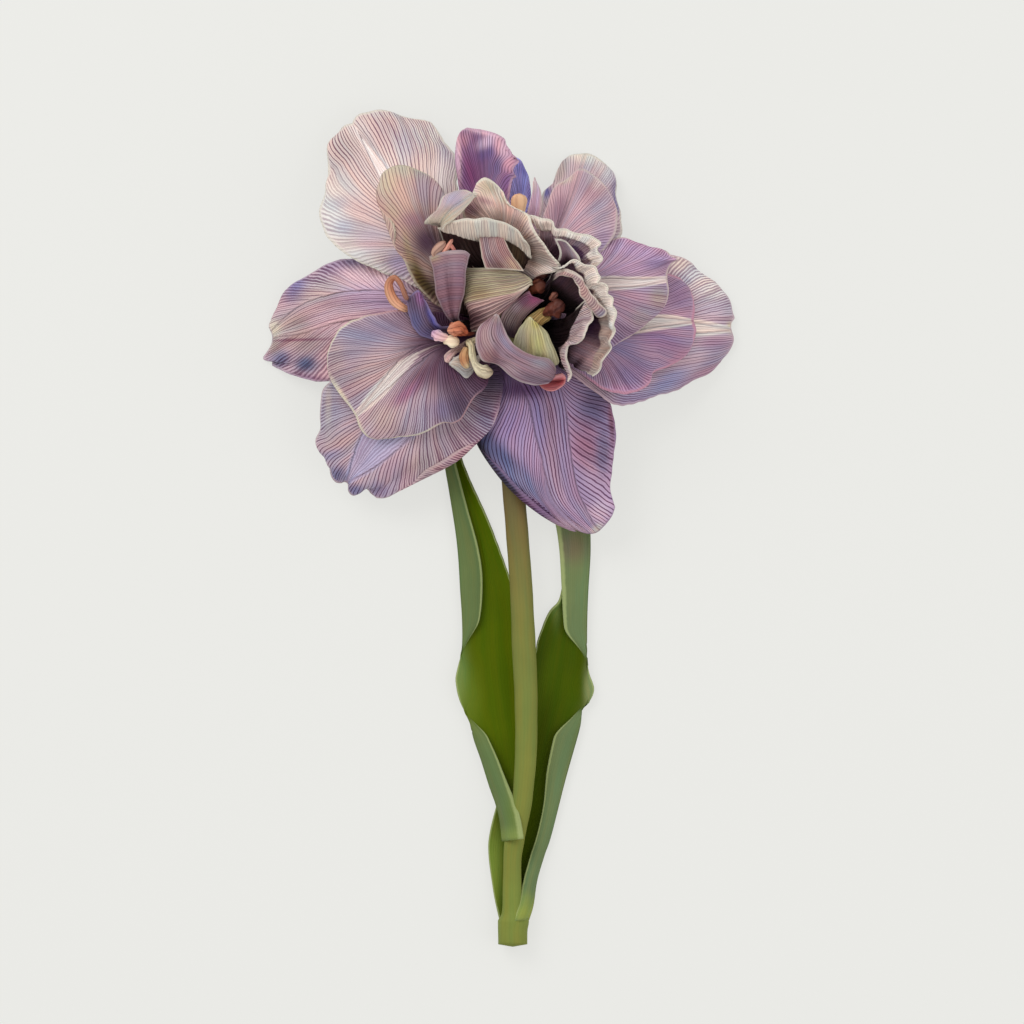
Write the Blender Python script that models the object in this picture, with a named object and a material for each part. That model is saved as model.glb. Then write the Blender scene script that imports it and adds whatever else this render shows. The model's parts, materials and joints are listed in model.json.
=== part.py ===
"""A cut double tulip lying on its back, its open flower facing up.

Everything is worked out in millimetres from the flower's heart, the middle of the receptacle that
carries the petals: x to the right, y towards the top of the flower, z out of its face.
The finished flower is then stood with the middle of its footprint on the origin.
"""

import math

import bmesh
import bpy
import numpy as np

MM = 0.001
HEART_HEIGHT = 17.5  # from the surface up to the heart
PETAL_THICKNESS = 0.6
LEAF_THICKNESS = 0.9
SPINE_SAMPLES = 96
SECTION_SAMPLES = 33

FACE_UP = (0, 0, 1)

# Colour and roughness. Nothing on the flower is metal.
FINISHES = {
    "leaf_green": ((0.12, 0.17, 0.03), 0.5),
    "stem_green": ((0.2, 0.22, 0.06), 0.5),
    "mauve": ((0.38, 0.24, 0.32), 0.6),
    "pale_mauve": ((0.51, 0.4, 0.42), 0.6),
    "violet": ((0.2, 0.13, 0.23), 0.6),
    "cream": ((0.62, 0.57, 0.48), 0.6),
    "blue": ((0.22, 0.19, 0.37), 0.6),
    "pink": ((0.43, 0.22, 0.28), 0.6),
    "yellow_green": ((0.38, 0.33, 0.19), 0.6),
    "orange": ((0.45, 0.17, 0.1), 0.6),
    "brown": ((0.2, 0.09, 0.09), 0.6),
}


# ---------------------------------------------------------------- curves and blades


def along(values, t):
    """The smooth curve through evenly spaced stations, at t from 0, the first, to 1, the last."""
    values = np.asarray(values, float)
    t = np.clip(np.asarray(t, float), 0, 1) * (len(values) - 1)
    i = np.clip(t.astype(int), 0, len(values) - 2)
    f = t - i
    if values.ndim > 1:
        f = f[..., None]
    before = values[np.maximum(i - 1, 0)]
    start, end = values[i], values[i + 1]
    after = values[np.minimum(i + 2, len(values) - 1)]
    slope_in, slope_out = (end - before) / 2, (after - start) / 2
    rise = end - start
    return (
        start
        + slope_in * f
        + (3 * rise - 2 * slope_in - slope_out) * f**2
        + (slope_in + slope_out - 2 * rise) * f**3
    )


def unit(vectors):
    return vectors / np.linalg.norm(vectors, axis=-1, keepdims=True)


def spine_frames(spine, facing, v):
    """Points on the spine at the shares v of its length, with its direction, right side and inner face."""
    t = np.linspace(0, 1, SPINE_SAMPLES)
    line = along(spine, t)
    length = np.concatenate([[0], np.cumsum(np.linalg.norm(np.diff(line, axis=0), axis=1))])
    share = np.interp(v, length / length[-1], t)
    point = along(spine, share)
    step = 0.01
    forward = unit(along(spine, np.minimum(share + step, 1)) - along(spine, np.maximum(share - step, 0)))
    facing = along(facing, v)
    inner = unit(facing - (facing * forward).sum(-1, keepdims=True) * forward)
    return point, np.cross(forward, inner), inner


def section(turn, fold, fold_at, fold_over, reach):
    """How far out and up a blade's cross-section is at the shares reach of its half width.

    turn bends it evenly and fold bends it within fold_over of its width, past fold_at. Both are in degrees.
    """
    s = np.linspace(0, 1, SECTION_SAMPLES)
    hinge = np.clip((s - fold_at) / fold_over, 0, 1)
    slope = np.radians(turn * s + fold * hinge * hinge * (3 - 2 * hinge))
    step = s[1]
    out = np.concatenate([[0], np.cumsum((np.cos(slope[1:]) + np.cos(slope[:-1])) / 2 * step)])
    up = np.concatenate([[0], np.cumsum((np.sin(slope[1:]) + np.sin(slope[:-1])) / 2 * step)])
    return np.interp(reach, s, out), np.interp(reach, s, up)


def rounding(v, tip_from):
    """The share of its width that a blade keeps towards its rounded tip."""
    end = np.clip((v - tip_from) / (1 - tip_from), 0, 1)
    return np.sqrt(np.maximum(1 - end**2, 0.012))


def blade_points(
    spine,
    left,
    right,
    facing=(FACE_UP, FACE_UP),
    cup=(0, 0),
    fold_left=(0, 0),
    fold_right=(0, 0),
    fold_at=0.7,
    fold_over=0.3,
    tip_from=0.8,
    notches=(),
    columns=6,
    rows=8,
):
    """A blade's grid of points, rows from base to tip and columns from its left margin to its right.

    left and right are its half widths at even stations, cup turns both margins up and the folds
    turn one over. A notch is its place across the blade from -1 to 1, its depth and its spread.
    """
    u = np.linspace(-1, 1, columns + 1)
    v = np.linspace(0, 1, rows + 1)
    v = v + (np.sin(v * math.pi / 2) - v) * 0.55
    pulled = sum((depth * np.exp(-(((u - at) / spread) ** 2)) for at, depth, spread in notches), u * 0)
    grid = np.zeros((rows + 1, columns + 1, 3))
    keep = rounding(v, tip_from)
    halves = {-1: (along(left, v), fold_left), 1: (along(right, v), fold_right)}
    for side, (width, fold) in halves.items():
        turns, folds = along(cup, v), along(fold, v)
        on_side = [c for c in range(columns + 1) if u[c] * side > 0 or (u[c] == 0 and side == 1)]
        for row in range(rows + 1):
            out, up = section(turns[row], folds[row], fold_at, fold_over, np.abs(u[on_side]))
            point, across, inner = spine_frames(spine, facing, v[row] * (1 - pulled[on_side]))
            half = width[row] * keep[row]
            grid[row, on_side] = point + across * (side * half * out)[:, None] + inner * (half * up)[:, None]
    return grid


# ---------------------------------------------------------------- materials and objects


def material(name, colour, roughness):
    made = bpy.data.materials.new(name)
    made.use_nodes = True
    shader = made.node_tree.nodes["Principled BSDF"]
    shader.inputs["Base Color"].default_value = (*colour, 1)
    shader.inputs["Roughness"].default_value = roughness
    shader.inputs["Metallic"].default_value = 0
    return made


def add_object(name, data, finish):
    data.materials.append(finish)
    made = bpy.data.objects.new(name, data)
    bpy.context.scene.collection.objects.link(made)
    return made


def add_blade(name, finish, thickness=PETAL_THICKNESS, columns=6, rows=8, **shape):
    """A petal or leaf: a grid bent to its shape, then given its thickness."""
    grid = blade_points(columns=columns, rows=rows, **shape) * MM
    bm = bmesh.new()
    bmesh.ops.create_grid(bm, x_segments=columns, y_segments=rows, size=0.5)
    for vertex in bm.verts:
        column = round((vertex.co.x + 0.5) * columns)
        row = round((vertex.co.y + 0.5) * rows)
        vertex.co = grid[row, column]
    mesh = bpy.data.meshes.new(name)
    bm.to_mesh(mesh)
    bm.free()
    mesh.shade_smooth()
    made = add_object(name, mesh, finish)
    solid = made.modifiers.new("thickness", "SOLIDIFY")
    solid.thickness = thickness * MM
    solid.offset = 0
    return made


def add_stalk(name, finish, path, sides=3):
    """A round stalk through points, each with its own radius, closed at both ends."""
    curve = bpy.data.curves.new(name, "CURVE")
    curve.dimensions = "3D"
    curve.bevel_depth = MM
    curve.bevel_resolution = sides
    curve.use_fill_caps = True
    line = curve.splines.new("POLY")
    line.points.add(len(path) - 1)
    for point, (x, y, z, radius) in zip(line.points, path):
        point.co = (x * MM, y * MM, z * MM, 1)
        point.radius = radius
    return add_object(name, curve, finish)


# ---------------------------------------------------------------- the plant


def add_stem(finish):
    path = along(
        [
            (2.2, -167.4, -13.3, 4.0),
            (2.2, -159.5, -13.3, 4.0),
            (2.1, -156.5, -13.2, 2.7),
            (2.2, -148.0, -12.7, 2.4),
            (2.4, -140.5, -12.0, 2.5),
            (3.8, -131.0, -11.4, 2.6),
            (5.4, -119.0, -11.2, 2.8),
            (5.8, -104.0, -11.2, 2.9),
            (5.4, -87.0, -10.9, 2.95),
            (4.3, -70.0, -10.6, 3.0),
            (3.2, -55.0, -10.3, 3.05),
            (2.0, -40.0, -10.0, 3.05),
            (0.9, -27.0, -9.6, 3.1),
            (0.2, -17.0, -9.0, 3.2),
            (0.0, -9.5, -7.8, 3.4),
            (0.0, -4.2, -6.0, 3.9),
            (0.0, -1.2, -3.8, 5.2),
            (0.0, 0.0, -1.8, 6.4),
            (0.0, 0.0, 0.2, 6.2),
            (0.0, 0.0, 2.2, 5.0),
            (0.0, 0.0, 4.0, 3.4),
            (0.0, 0.0, 4.8, 1.6),
        ],
        np.linspace(0, 1, 43),
    )
    return add_stalk("stem", finish, path)


def add_leaves(finish):
    add_blade(
        "lower_leaf",
        finish,
        LEAF_THICKNESS,
        columns=12,
        rows=16,
        spine=[
            (2.2, -155.5, -16.7),
            (4.0, -143.5, -16.95),
            (8.0, -126.0, -16.95),
            (13.5, -106.0, -16.95),
            (17.0, -88.0, -17.0),
            (18.5, -71.0, -16.8),
            (18.6, -55.0, -16.6),
            (17.5, -41.0, -16.4),
            (15.0, -28.0, -16.0),
        ],
        left=(4.4, 8.5, 9.0, 8.5, 9.0, 5.5, 4.0, 3.5, 2.0),
        right=(4.4, 9.5, 12.0, 9.0, 9.5, 12.0, 9.0, 6.0, 2.0),
        cup=(72, 12, 0, 0, 5, 18, 18, 12, 8),
        fold_right=(0, 100, 165, 20, 120, 165, 165, 120, 0),
        fold_at=0.42,
        fold_over=0.34,
        tip_from=0.85,
    )
    add_blade(
        "upper_leaf",
        finish,
        LEAF_THICKNESS,
        columns=12,
        rows=16,
        spine=[
            (2.8, -137.0, -15.5),
            (1.5, -126.0, -15.5),
            (-1.0, -112.0, -15.6),
            (-3.5, -98.0, -15.8),
            (-4.5, -83.0, -16.0),
            (-5.5, -68.0, -16.2),
            (-8.0, -54.0, -16.4),
            (-12.0, -41.0, -16.5),
            (-16.0, -27.0, -16.4),
        ],
        left=(4.2, 7.5, 9.0, 8.5, 10.0, 13.0, 9.5, 6.5, 2.0),
        right=(4.0, 3.2, 6.2, 8.0, 7.5, 7.0, 4.5, 3.0, 1.5),
        cup=(66, 8, 0, 0, 5, 12, 15, 10, 8),
        fold_left=(0, 130, 150, 10, 60, 165, 165, 150, 0),
        fold_at=0.42,
        fold_over=0.34,
        tip_from=0.85,
    )


OUTER_PETALS = {
    "left_petal": dict(
        finish="mauve",
        spine=[(-6.8, 0.6, -0.6), (-20, 4.5, 1.5), (-38, 5, 0.5), (-53, 1, -6), (-64, -4.5, -17.1)],
        left=(2.2, 8, 15, 17, 12),
        right=(2.2, 7, 12.5, 12.5, 8),
        cup=(20, 5, -10, -15),
        tip_from=0.78,
        notches=((-0.55, 0.05, 0.12), (0.5, 0.04, 0.14)),
    ),
    "lower_left_outer_petal": dict(
        finish="mauve",
        spine=[(-5, -5, -0.8), (-13, -13, 3.5), (-25, -24, 3.5), (-35, -34.5, -1), (-44, -45, -8)],
        left=(2.2, 13.5, 17.5, 14.5, 9),
        right=(2.2, 9, 19, 22.5, 12),
        cup=(15, 0, -8, -10),
        fold_left=(0, 0, 120, 140, 0),
        fold_at=0.72,
        fold_over=0.2,
        notches=((0.25, 0.05, 0.1), (-0.35, 0.03, 0.12)),
        columns=8,
    ),
    "lower_petal": dict(
        finish="violet",
        spine=[(2.6, -6.4, -1.2), (7.5, -16, 0.5), (12.5, -28, 1), (18.5, -43, -1), (24.8, -56, -5)],
        left=(2.2, 13, 17, 11.5, 7),
        right=(2.2, 14, 21, 16, 8),
        cup=(15, 0, -5, -5),
        fold_right=(0, 0, -60, -90, 0),
        fold_at=0.8,
        fold_over=0.2,
        tip_from=0.85,
    ),
    "right_outer_petal": dict(
        finish="pale_mauve",
        spine=[(6.8, -1, -0.8), (20, -2.5, 3.5), (34, -2, 1), (48, -1.5, -6), (62.5, -2.5, -17.1)],
        left=(2.2, 9, 15, 17.5, 12),
        right=(2.2, 13, 21, 15.5, 11),
        cup=(15, 0, -8, -12),
    ),
    "upper_right_outer_petal": dict(
        finish="pale_mauve",
        spine=[(4.3, 5.4, -0.8), (8.8, 16, 0.8), (14.5, 27, -1), (19.5, 38, -7), (22.5, 47.5, -17.1)],
        left=(1.6, 4, 8, 7.5, 6),
        right=(1.6, 8, 14.5, 12.5, 7),
        cup=(15, 0, -10, -10),
    ),
    "upper_left_petal": dict(
        finish="pale_mauve",
        spine=[(-4.2, 5.4, -0.6), (-12, 15.5, 4), (-21.5, 28, 5), (-32, 42, -2), (-42.5, 55.5, -17.1)],
        left=(2.2, 9, 21, 23.5, 14),
        right=(2.2, 8, 14, 18.5, 15),
        cup=(15, 0, -8, -8),
        tip_from=0.75,
        notches=((0, 0.05, 0.12),),
        columns=8,
    ),
    "lower_left_petal": dict(
        finish="pale_mauve",
        spine=[(-5.5, -2.8, 1.6), (-14, -6.5, 8), (-24, -12, 10.5), (-34, -18, 9), (-43.5, -24, 4)],
        left=(2, 11, 15.5, 15.5, 13),
        right=(2, 10, 18, 22, 20),
        cup=(25, 5, -5, -10),
    ),
    "right_middle_petal": dict(
        finish="mauve",
        spine=[(5.6, -2.7, 1.2), (16, -5.2, 4.6), (28, -3, 6), (40, -1.5, 2.5), (52, -1.5, -4)],
        left=(1.7, 5, 12, 14, 10),
        right=(1.7, 9, 18, 15.5, 10),
        cup=(20, 0, -5, -10),
    ),
    "right_inner_petal": dict(
        finish="mauve",
        spine=[(6.0, 1.8, 1.4), (16, 4.8, 9), (26, 7.5, 11.5), (37, 10, 9.5), (47.5, 12.5, 4)],
        left=(1.6, 5.5, 14, 14, 9),
        right=(1.8, 9, 13.5, 11, 6),
        cup=(20, 5, 0, -10),
    ),
    "upper_right_inner_petal": dict(
        finish="mauve",
        spine=[(3.5, 5.3, 1.6), (8, 14.5, 10), (13, 24, 14.2), (18, 33, 14), (22.5, 42, 9)],
        left=(1.2, 3.4, 7.5, 7, 5),
        right=(1.2, 3.6, 14, 13, 8),
        cup=(20, 0, -10, -10),
    ),
    "top_petal": dict(
        finish="violet",
        spine=[(-1.6, 6.2, 1.2), (-3, 17, 9), (-4, 29, 11), (-4.5, 41, 9), (-6, 53, 3)],
        left=(1.8, 5.5, 7.5, 8.5, 6),
        right=(1.8, 5, 7, 8.5, 6),
        cup=(20, 5, -5, -10),
    ),
    "top_blue_petal": dict(
        finish="blue",
        spine=[(0, 6.9, -1.2), (2.2, 18, 3.6), (4, 29, 4), (4, 38, 1.5), (3, 46, -3)],
        left=(1.4, 3.4, 5, 4.5, 3),
        right=(1.4, 3, 4.5, 4, 3),
        cup=(20, 5, 0, 0),
    ),
    "top_pink_petal": dict(
        finish="pink",
        spine=[(1.5, 6.5, 0.8), (4.5, 18, 7.5), (6.5, 28, 9), (8.2, 39, 6.5)],
        left=(1.0, 1.5, 1.7, 1),
        right=(1.0, 1.5, 1.8, 1),
        cup=(20, 10, 0),
        columns=4,
        rows=6,
    ),
}

INNER_PETALS = {
    "upper_left_inner_petal": dict(
        finish="pale_mauve",
        spine=[(-4.2, 3.7, 3.2), (-11, 12, 11.5), (-18.5, 22.5, 17), (-24.5, 32, 18.5), (-26.5, 42, 14.5)],
        facing=[(0.5, -0.5, 0.7), (0.2, -0.2, 1), (0, 0, 1)],
        left=(0.9, 7.5, 11, 10, 8),
        right=(0.9, 2.2, 6, 9, 8),
        cup=(30, 25, 25, 10, -10),
    ),
    "upper_left_curled_petal": dict(
        finish="cream",
        spine=[(-2.3, 5.0, 3.2), (-5.4, 15.5, 14), (-9.6, 24.4, 20.8), (-17, 28, 25.5), (-9, 34.5, 27)],
        facing=[(0.3, -0.8, 0.5), (0.3, -0.5, 0.8), (0, 0, 1)],
        left=(0.8, 1.2, 2.2, 3.4, 3.5),
        right=(0.8, 1.0, 2.6, 4.5, 4),
        columns=4,
    ),
    "left_inner_petal": dict(
        finish="mauve",
        spine=[(-5.3, 1.3, 3.6), (-10, 1.8, 11), (-13.8, 3.5, 16.5), (-15.3, 10, 20), (-15, 18.2, 21.5)],
        facing=[(1, -0.2, 0.5), (0.4, 0, 1), (0, 0, 1)],
        left=(1.2, 1.8, 3.0, 5, 5.5),
        right=(1.2, 1.8, 3.0, 5, 5.5),
        cup=(20, 10, -25, -35),
        tip_from=0.9,
    ),
    "centre_petal": dict(
        finish="cream",
        spine=[(-3.9, 2.6, 4.6), (-6.4, 4.4, 9.5), (-9, 6.6, 14), (-4, 8.6, 17), (7, 10.8, 16)],
        facing=[(1, -0.3, 0.3), (1, -0.3, 0), (0.5, -0.1, -0.9), (0, 0, -1)],
        left=(1.0, 2.0, 6, 10, 3),
        right=(1.0, 1.2, 1.6, 1.8, 2),
        cup=(10, 10, 20, 25, 10),
    ),
    "centre_curled_petal": dict(
        finish="pale_mauve",
        spine=[(0.4, 3.9, 4.6), (0.2, 10.8, 13.5), (-2.8, 17, 21.5), (-2.2, 17.5, 25), (2, 15.4, 25.6), (7, 13.2, 23.4)],
        facing=[(0, -1, 0.3), (0, -0.8, 0.5), (0, -1, -0.2), (0, -0.3, -1), (0, 0, -1)],
        left=(1.0, 2, 3.4, 3.6, 3.2, 1.5),
        right=(1.0, 2, 3.4, 3.6, 3.2, 1.5),
        columns=4,
    ),
    "arch_petal": dict(
        finish="cream",
        spine=[(0.9, 5.2, 3.6), (1.5, 13.5, 14.2), (0.5, 21, 23.5), (-2.5, 24.6, 29), (-3, 22.6, 31.5)],
        facing=[(0, -1, 0.4), (0, -1, 0.4), (0, -1, 0), (0, -1, -0.6)],
        left=(1.0, 1.8, 3.2, 9, 9),
        right=(1.0, 1.8, 5, 9.5, 9),
        cup=(10, 10, 25, 30),
        tip_from=0.9,
    ),
    "upper_middle_inner_petal": dict(
        finish="pale_mauve",
        spine=[(-0.2, 6.4, 2.4), (-0.8, 16, 12.2), (-2.5, 26, 17), (-4, 34, 18.8), (-5, 40, 17)],
        facing=[(0, -0.7, 0.7), (0, -0.3, 1), (0, 0, 1)],
        left=(0.8, 1.8, 5, 5.5, 4),
        right=(0.8, 2.4, 9, 7.5, 4),
        cup=(20, 20, 10, -10),
    ),
    "upper_right_ruffled_petal": dict(
        finish="cream",
        spine=[(3.5, 4.6, 3.2), (10.2, 15.6, 13.8), (12.6, 19, 23.5), (15, 22, 29), (18, 25.5, 29.5)],
        facing=[(-0.6, -0.7, 0.3), (-0.6, -0.7, 0.5), (-0.4, -0.5, 1), (0, 0, 1)],
        left=(1.2, 2, 4, 8, 8),
        right=(1.2, 2, 5, 8.5, 8),
        cup=(20, 20, 20, 0),
    ),
    "upper_right_folded_petal": dict(
        finish="pale_mauve",
        spine=[(5.3, 3.2, 2.4), (13.4, 9.2, 11.2), (16.6, 12.6, 16.8), (19, 16.4, 21.8)],
        facing=[(-0.6, -0.5, 0.6), (-0.4, -0.3, 1)],
        left=(0.9, 1.4, 2.2, 2.2),
        right=(0.9, 1.4, 2.6, 2.6),
        columns=4,
        rows=6,
    ),
    "right_ruffled_petal": dict(
        finish="cream",
        spine=[(5.5, 0.4, 3.2), (13.6, 1.9, 11.4), (20, 2.8, 18.5), (24.8, 2.5, 25.5), (28.5, 2, 26.5)],
        facing=[(-0.8, 0, 0.5), (-0.8, 0, 0.6), (-0.8, 0, 0.6), (-0.2, 0, 1)],
        left=(1.2, 2.4, 6, 8.5, 9),
        right=(1.2, 2.4, 5, 9, 12),
        cup=(20, 20, 35, 40),
        tip_from=0.9,
    ),
    "right_middle_ruffled_petal": dict(
        finish="pale_mauve",
        spine=[(4.4, 2.0, 4.0), (11, 7.8, 14.2), (14.8, 10.4, 21.5), (18, 10.8, 27), (21, 10.8, 28.5)],
        facing=[(-0.8, -0.4, 0.4), (-0.8, -0.4, 0.5), (-0.5, -0.3, 1)],
        left=(1.0, 1.4, 2.5, 4, 5),
        right=(1.0, 1.4, 2, 4.4, 6),
        cup=(20, 20, 20, 20),
    ),
    "right_inner_ruffled_petal": dict(
        finish="cream",
        spine=[(4.7, -1.6, 4.0), (11, -4.6, 11.5), (15, -6, 18.5), (17.5, -6, 24), (19, -5.8, 25.5)],
        facing=[(-0.9, 0.2, 0.3), (-0.9, 0.2, 0.4), (-0.8, 0.2, 0.6)],
        left=(1.0, 1.6, 3.5, 6, 7),
        right=(1.0, 1.6, 2.4, 5, 7),
        cup=(20, 10, 10, 10),
        tip_from=0.9,
    ),
    "pink_tongue": dict(
        finish="pink",
        spine=[(2.9, 0.9, 4.8), (3.8, 1.4, 9.5), (4.8, 2.2, 13), (7, 4.2, 15.2), (10, 6.6, 15.6)],
        facing=[(-1, 0, 0.2), (-0.7, 0, 0.6), (0, 0, 1)],
        left=(0.8, 1.5, 2.4, 2.6, 1.5),
        right=(0.8, 1.5, 2.6, 2.8, 1.5),
        columns=4,
    ),
    "upper_green_petal": dict(
        finish="yellow_green",
        spine=[(2.4, -2.2, 4.8), (4, -4.5, 9), (6, -3.6, 11.6), (9.2, -0.3, 12.2), (11.4, 3.4, 12.2)],
        facing=[(-0.7, 0.6, 0.3), (-0.5, 0.5, 0.8), (0, 0, 1)],
        left=(0.8, 1.5, 2, 1.7, 1),
        right=(0.8, 1.5, 2.4, 2.4, 1.5),
        columns=4,
    ),
    "lower_green_petal": dict(
        finish="yellow_green",
        spine=[(2.2, -4.4, 4.2), (5, -8.2, 9.5), (7.8, -9.6, 13.5), (8.2, -6, 17.2), (7, 0, 18.4)],
        facing=[(-0.5, 0.8, 0.4), (-0.5, 0.8, 0.3), (0, 1, 0), (0, 0, 1)],
        left=(0.8, 1.5, 2.6, 2.8, 1.5),
        right=(0.8, 1.5, 2.6, 2.8, 1.5),
        columns=4,
    ),
    "lower_curled_petal": dict(
        finish="pale_mauve",
        spine=[
            (3.8, -4.4, 3.0),
            (8.8, -10.4, 9.2),
            (11.8, -14.2, 14.5),
            (5.5, -12.5, 20.5),
            (-3, -6.5, 22.8),
            (-2.4, 3, 22.2),
        ],
        facing=[(-0.6, 0.7, 0.2), (-0.6, 0.7, 0.1), (-0.6, 0.6, -0.4), (0, 0, -1), (0, 0, -1)],
        left=(1.2, 3, 4.5, 4.4, 4.2, 1.5),
        right=(1.2, 3, 4.5, 4.4, 4.2, 1.5),
        cup=(10, 20, 20, 20),
    ),
    "small_blue_petal": dict(
        finish="blue",
        spine=[(-5.9, -0.9, 2.8), (-12.5, -3, 10.5), (-18, -1.6, 14.5), (-22, 2.5, 15), (-23.5, 8, 13.5)],
        facing=[(0.8, 0, 0.6), (0, 0, 1)],
        left=(0.8, 2, 3.2, 4, 2.5),
        right=(0.8, 2, 3, 3.6, 2.5),
        columns=4,
    ),
    "small_grey_petal": dict(
        finish="pale_mauve",
        spine=[(-2.6, -4.8, 3.4), (-6, -9, 10.5), (-10, -11.8, 13.5), (-14, -11.6, 15)],
        facing=[(0.4, 0.7, 0.6), (0, 0, 1)],
        left=(0.8, 2, 2.6, 1.6),
        right=(0.8, 2, 2.6, 1.6),
        columns=4,
        rows=6,
    ),
    "small_pink_petal": dict(
        finish="pink",
        spine=[(-4.9, -2.7, 3.4), (-9.8, -6, 11.5), (-14, -7.4, 14.4), (-17.5, -4.6, 16)],
        facing=[(0.7, 0.4, 0.6), (0, 0, 1)],
        left=(0.8, 1.4, 2, 1.5),
        right=(0.8, 1.4, 2, 1.5),
        columns=4,
        rows=6,
    ),
    "small_red_petal": dict(
        finish="pink",
        spine=[(2.2, -6.0, 2.0), (6.6, -12.4, 6), (11, -15.6, 8.3), (15.5, -15.6, 9.5)],
        facing=[(-0.2, 0.6, 0.8), (0, 0, 1)],
        left=(0.8, 1.6, 2.2, 1.6),
        right=(0.8, 1.6, 2.2, 1.6),
        columns=4,
        rows=6,
    ),
}

STAMENS = {
    "left_looped_stamen": [
        (-6.1, 1.8, 2.6, 0.7),
        (-14, 4, 8.5, 0.9),
        (-22, 4.6, 11, 1.0),
        (-27, 4.6, 12, 1.1),
        (-31, 8.0, 13, 1.2),
        (-31.2, 12.6, 13.5, 1.3),
        (-28.6, 12.8, 14.5, 1.2),
        (-27, 8.4, 14.8, 0.8),
    ],
    "left_ruffled_stamen": [
        (-3.4, -0.9, 5.0, 0.5),
        (-6.5, -3.2, 10, 0.6),
        (-9.6, -3.6, 14, 0.8),
        (-12.2, -2.6, 16.8, 1.9),
        (-14.6, -1.4, 18, 1.5),
    ],
    "lower_curled_stamen": [
        (-2.0, -3.2, 5.0, 0.6),
        (-5.2, -6.2, 10, 0.7),
        (-9.4, -6.2, 14, 1.0),
        (-10.2, -9, 16.4, 1.2),
        (-7.6, -12.6, 17, 1.5),
        (-3.6, -14, 16, 1.7),
    ],
    "top_stamen": [
        (1.7, 5.8, 2.7, 0.5),
        (3.0, 14, 9.6, 0.5),
        (4.0, 24, 12.9, 0.6),
        (4.4, 29.5, 14, 1.9),
        (4.6, 33.5, 14.4, 1.7),
    ],
    "upper_left_stamen": [
        (-2.7, 3.0, 5.0, 0.45),
        (-6.2, 10.6, 12.6, 0.5),
        (-10.4, 15, 16, 0.6),
        (-13.8, 18.4, 17.8, 0.7),
        (-17.2, 21, 19.4, 1.4),
        (-18.6, 23, 20.2, 1.1),
    ],
    "upper_middle_stamen": [
        (-1.6, 4.1, 5.0, 0.45),
        (-3.8, 10.2, 12.6, 0.5),
        (-7.6, 15.5, 16.4, 0.6),
        (-11.6, 19.4, 18.4, 1.3),
        (-13.4, 21.4, 19, 1.0),
    ],
    "centre_stamen": [
        (1.4, 3.0, 5.0, 0.5),
        (4.0, 6.4, 9.5, 0.5),
        (6.4, 9.0, 11.6, 0.8),
        (7.8, 10.2, 12.6, 1.7),
        (8.6, 11.4, 13, 1.1),
    ],
    "right_stamen": [
        (3.9, -0.1, 5.0, 0.5),
        (7.9, 2.6, 11.2, 0.5),
        (11, 4.1, 14.5, 0.8),
        (13.4, 4.7, 15.8, 1.7),
        (14.8, 5.2, 16.2, 1.2),
    ],
}

PISTIL = [
    (0, 0, 5.2, 1.4),
    (0, 0, 6.5, 1.9),
    (0, 0, 9.5, 1.7),
    (0, 0, 11.0, 1.4),
    (0, 0, 11.8, 2.3),
    (0, 0, 12.6, 1.2),
]


def add_flower(finishes):
    for name, shape in (OUTER_PETALS | INNER_PETALS).items():
        shape = dict(shape)
        add_blade(name, finishes[shape.pop("finish")], **shape)
    for name, path in STAMENS.items():
        finish = finishes["brown" if name in ("centre_stamen", "right_stamen") else "orange"]
        add_stalk(name, finish, along(path, np.linspace(0, 1, 3 * len(path) - 2)), sides=2)
    add_stalk("pistil", finishes["yellow_green"], along(PISTIL, np.linspace(0, 1, 14)), sides=2)


def clear_scene():
    for thing in list(bpy.data.objects):
        bpy.data.objects.remove(thing, do_unlink=True)


def stand_on_origin():
    """Moves everything so that the middle of its footprint is on the origin and the heart is at its height."""
    bpy.context.view_layer.update()
    graph = bpy.context.evaluated_depsgraph_get()
    spots = []
    for thing in bpy.data.objects:
        worked = thing.evaluated_get(graph)
        spots.extend(vertex.co[:] for vertex in worked.to_mesh().vertices)
        worked.to_mesh_clear()
    spots = np.array(spots)
    middle = (spots.min(0) + spots.max(0)) / 2
    for thing in bpy.data.objects:
        thing.location = (-middle[0], -middle[1], HEART_HEIGHT * MM)


def main():
    clear_scene()
    finishes = {name: material(name, colour, roughness) for name, (colour, roughness) in FINISHES.items()}
    add_stem(finishes["stem_green"])
    add_leaves(finishes["leaf_green"])
    add_flower(finishes)
    stand_on_origin()


main()
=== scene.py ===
import json
import math

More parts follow.
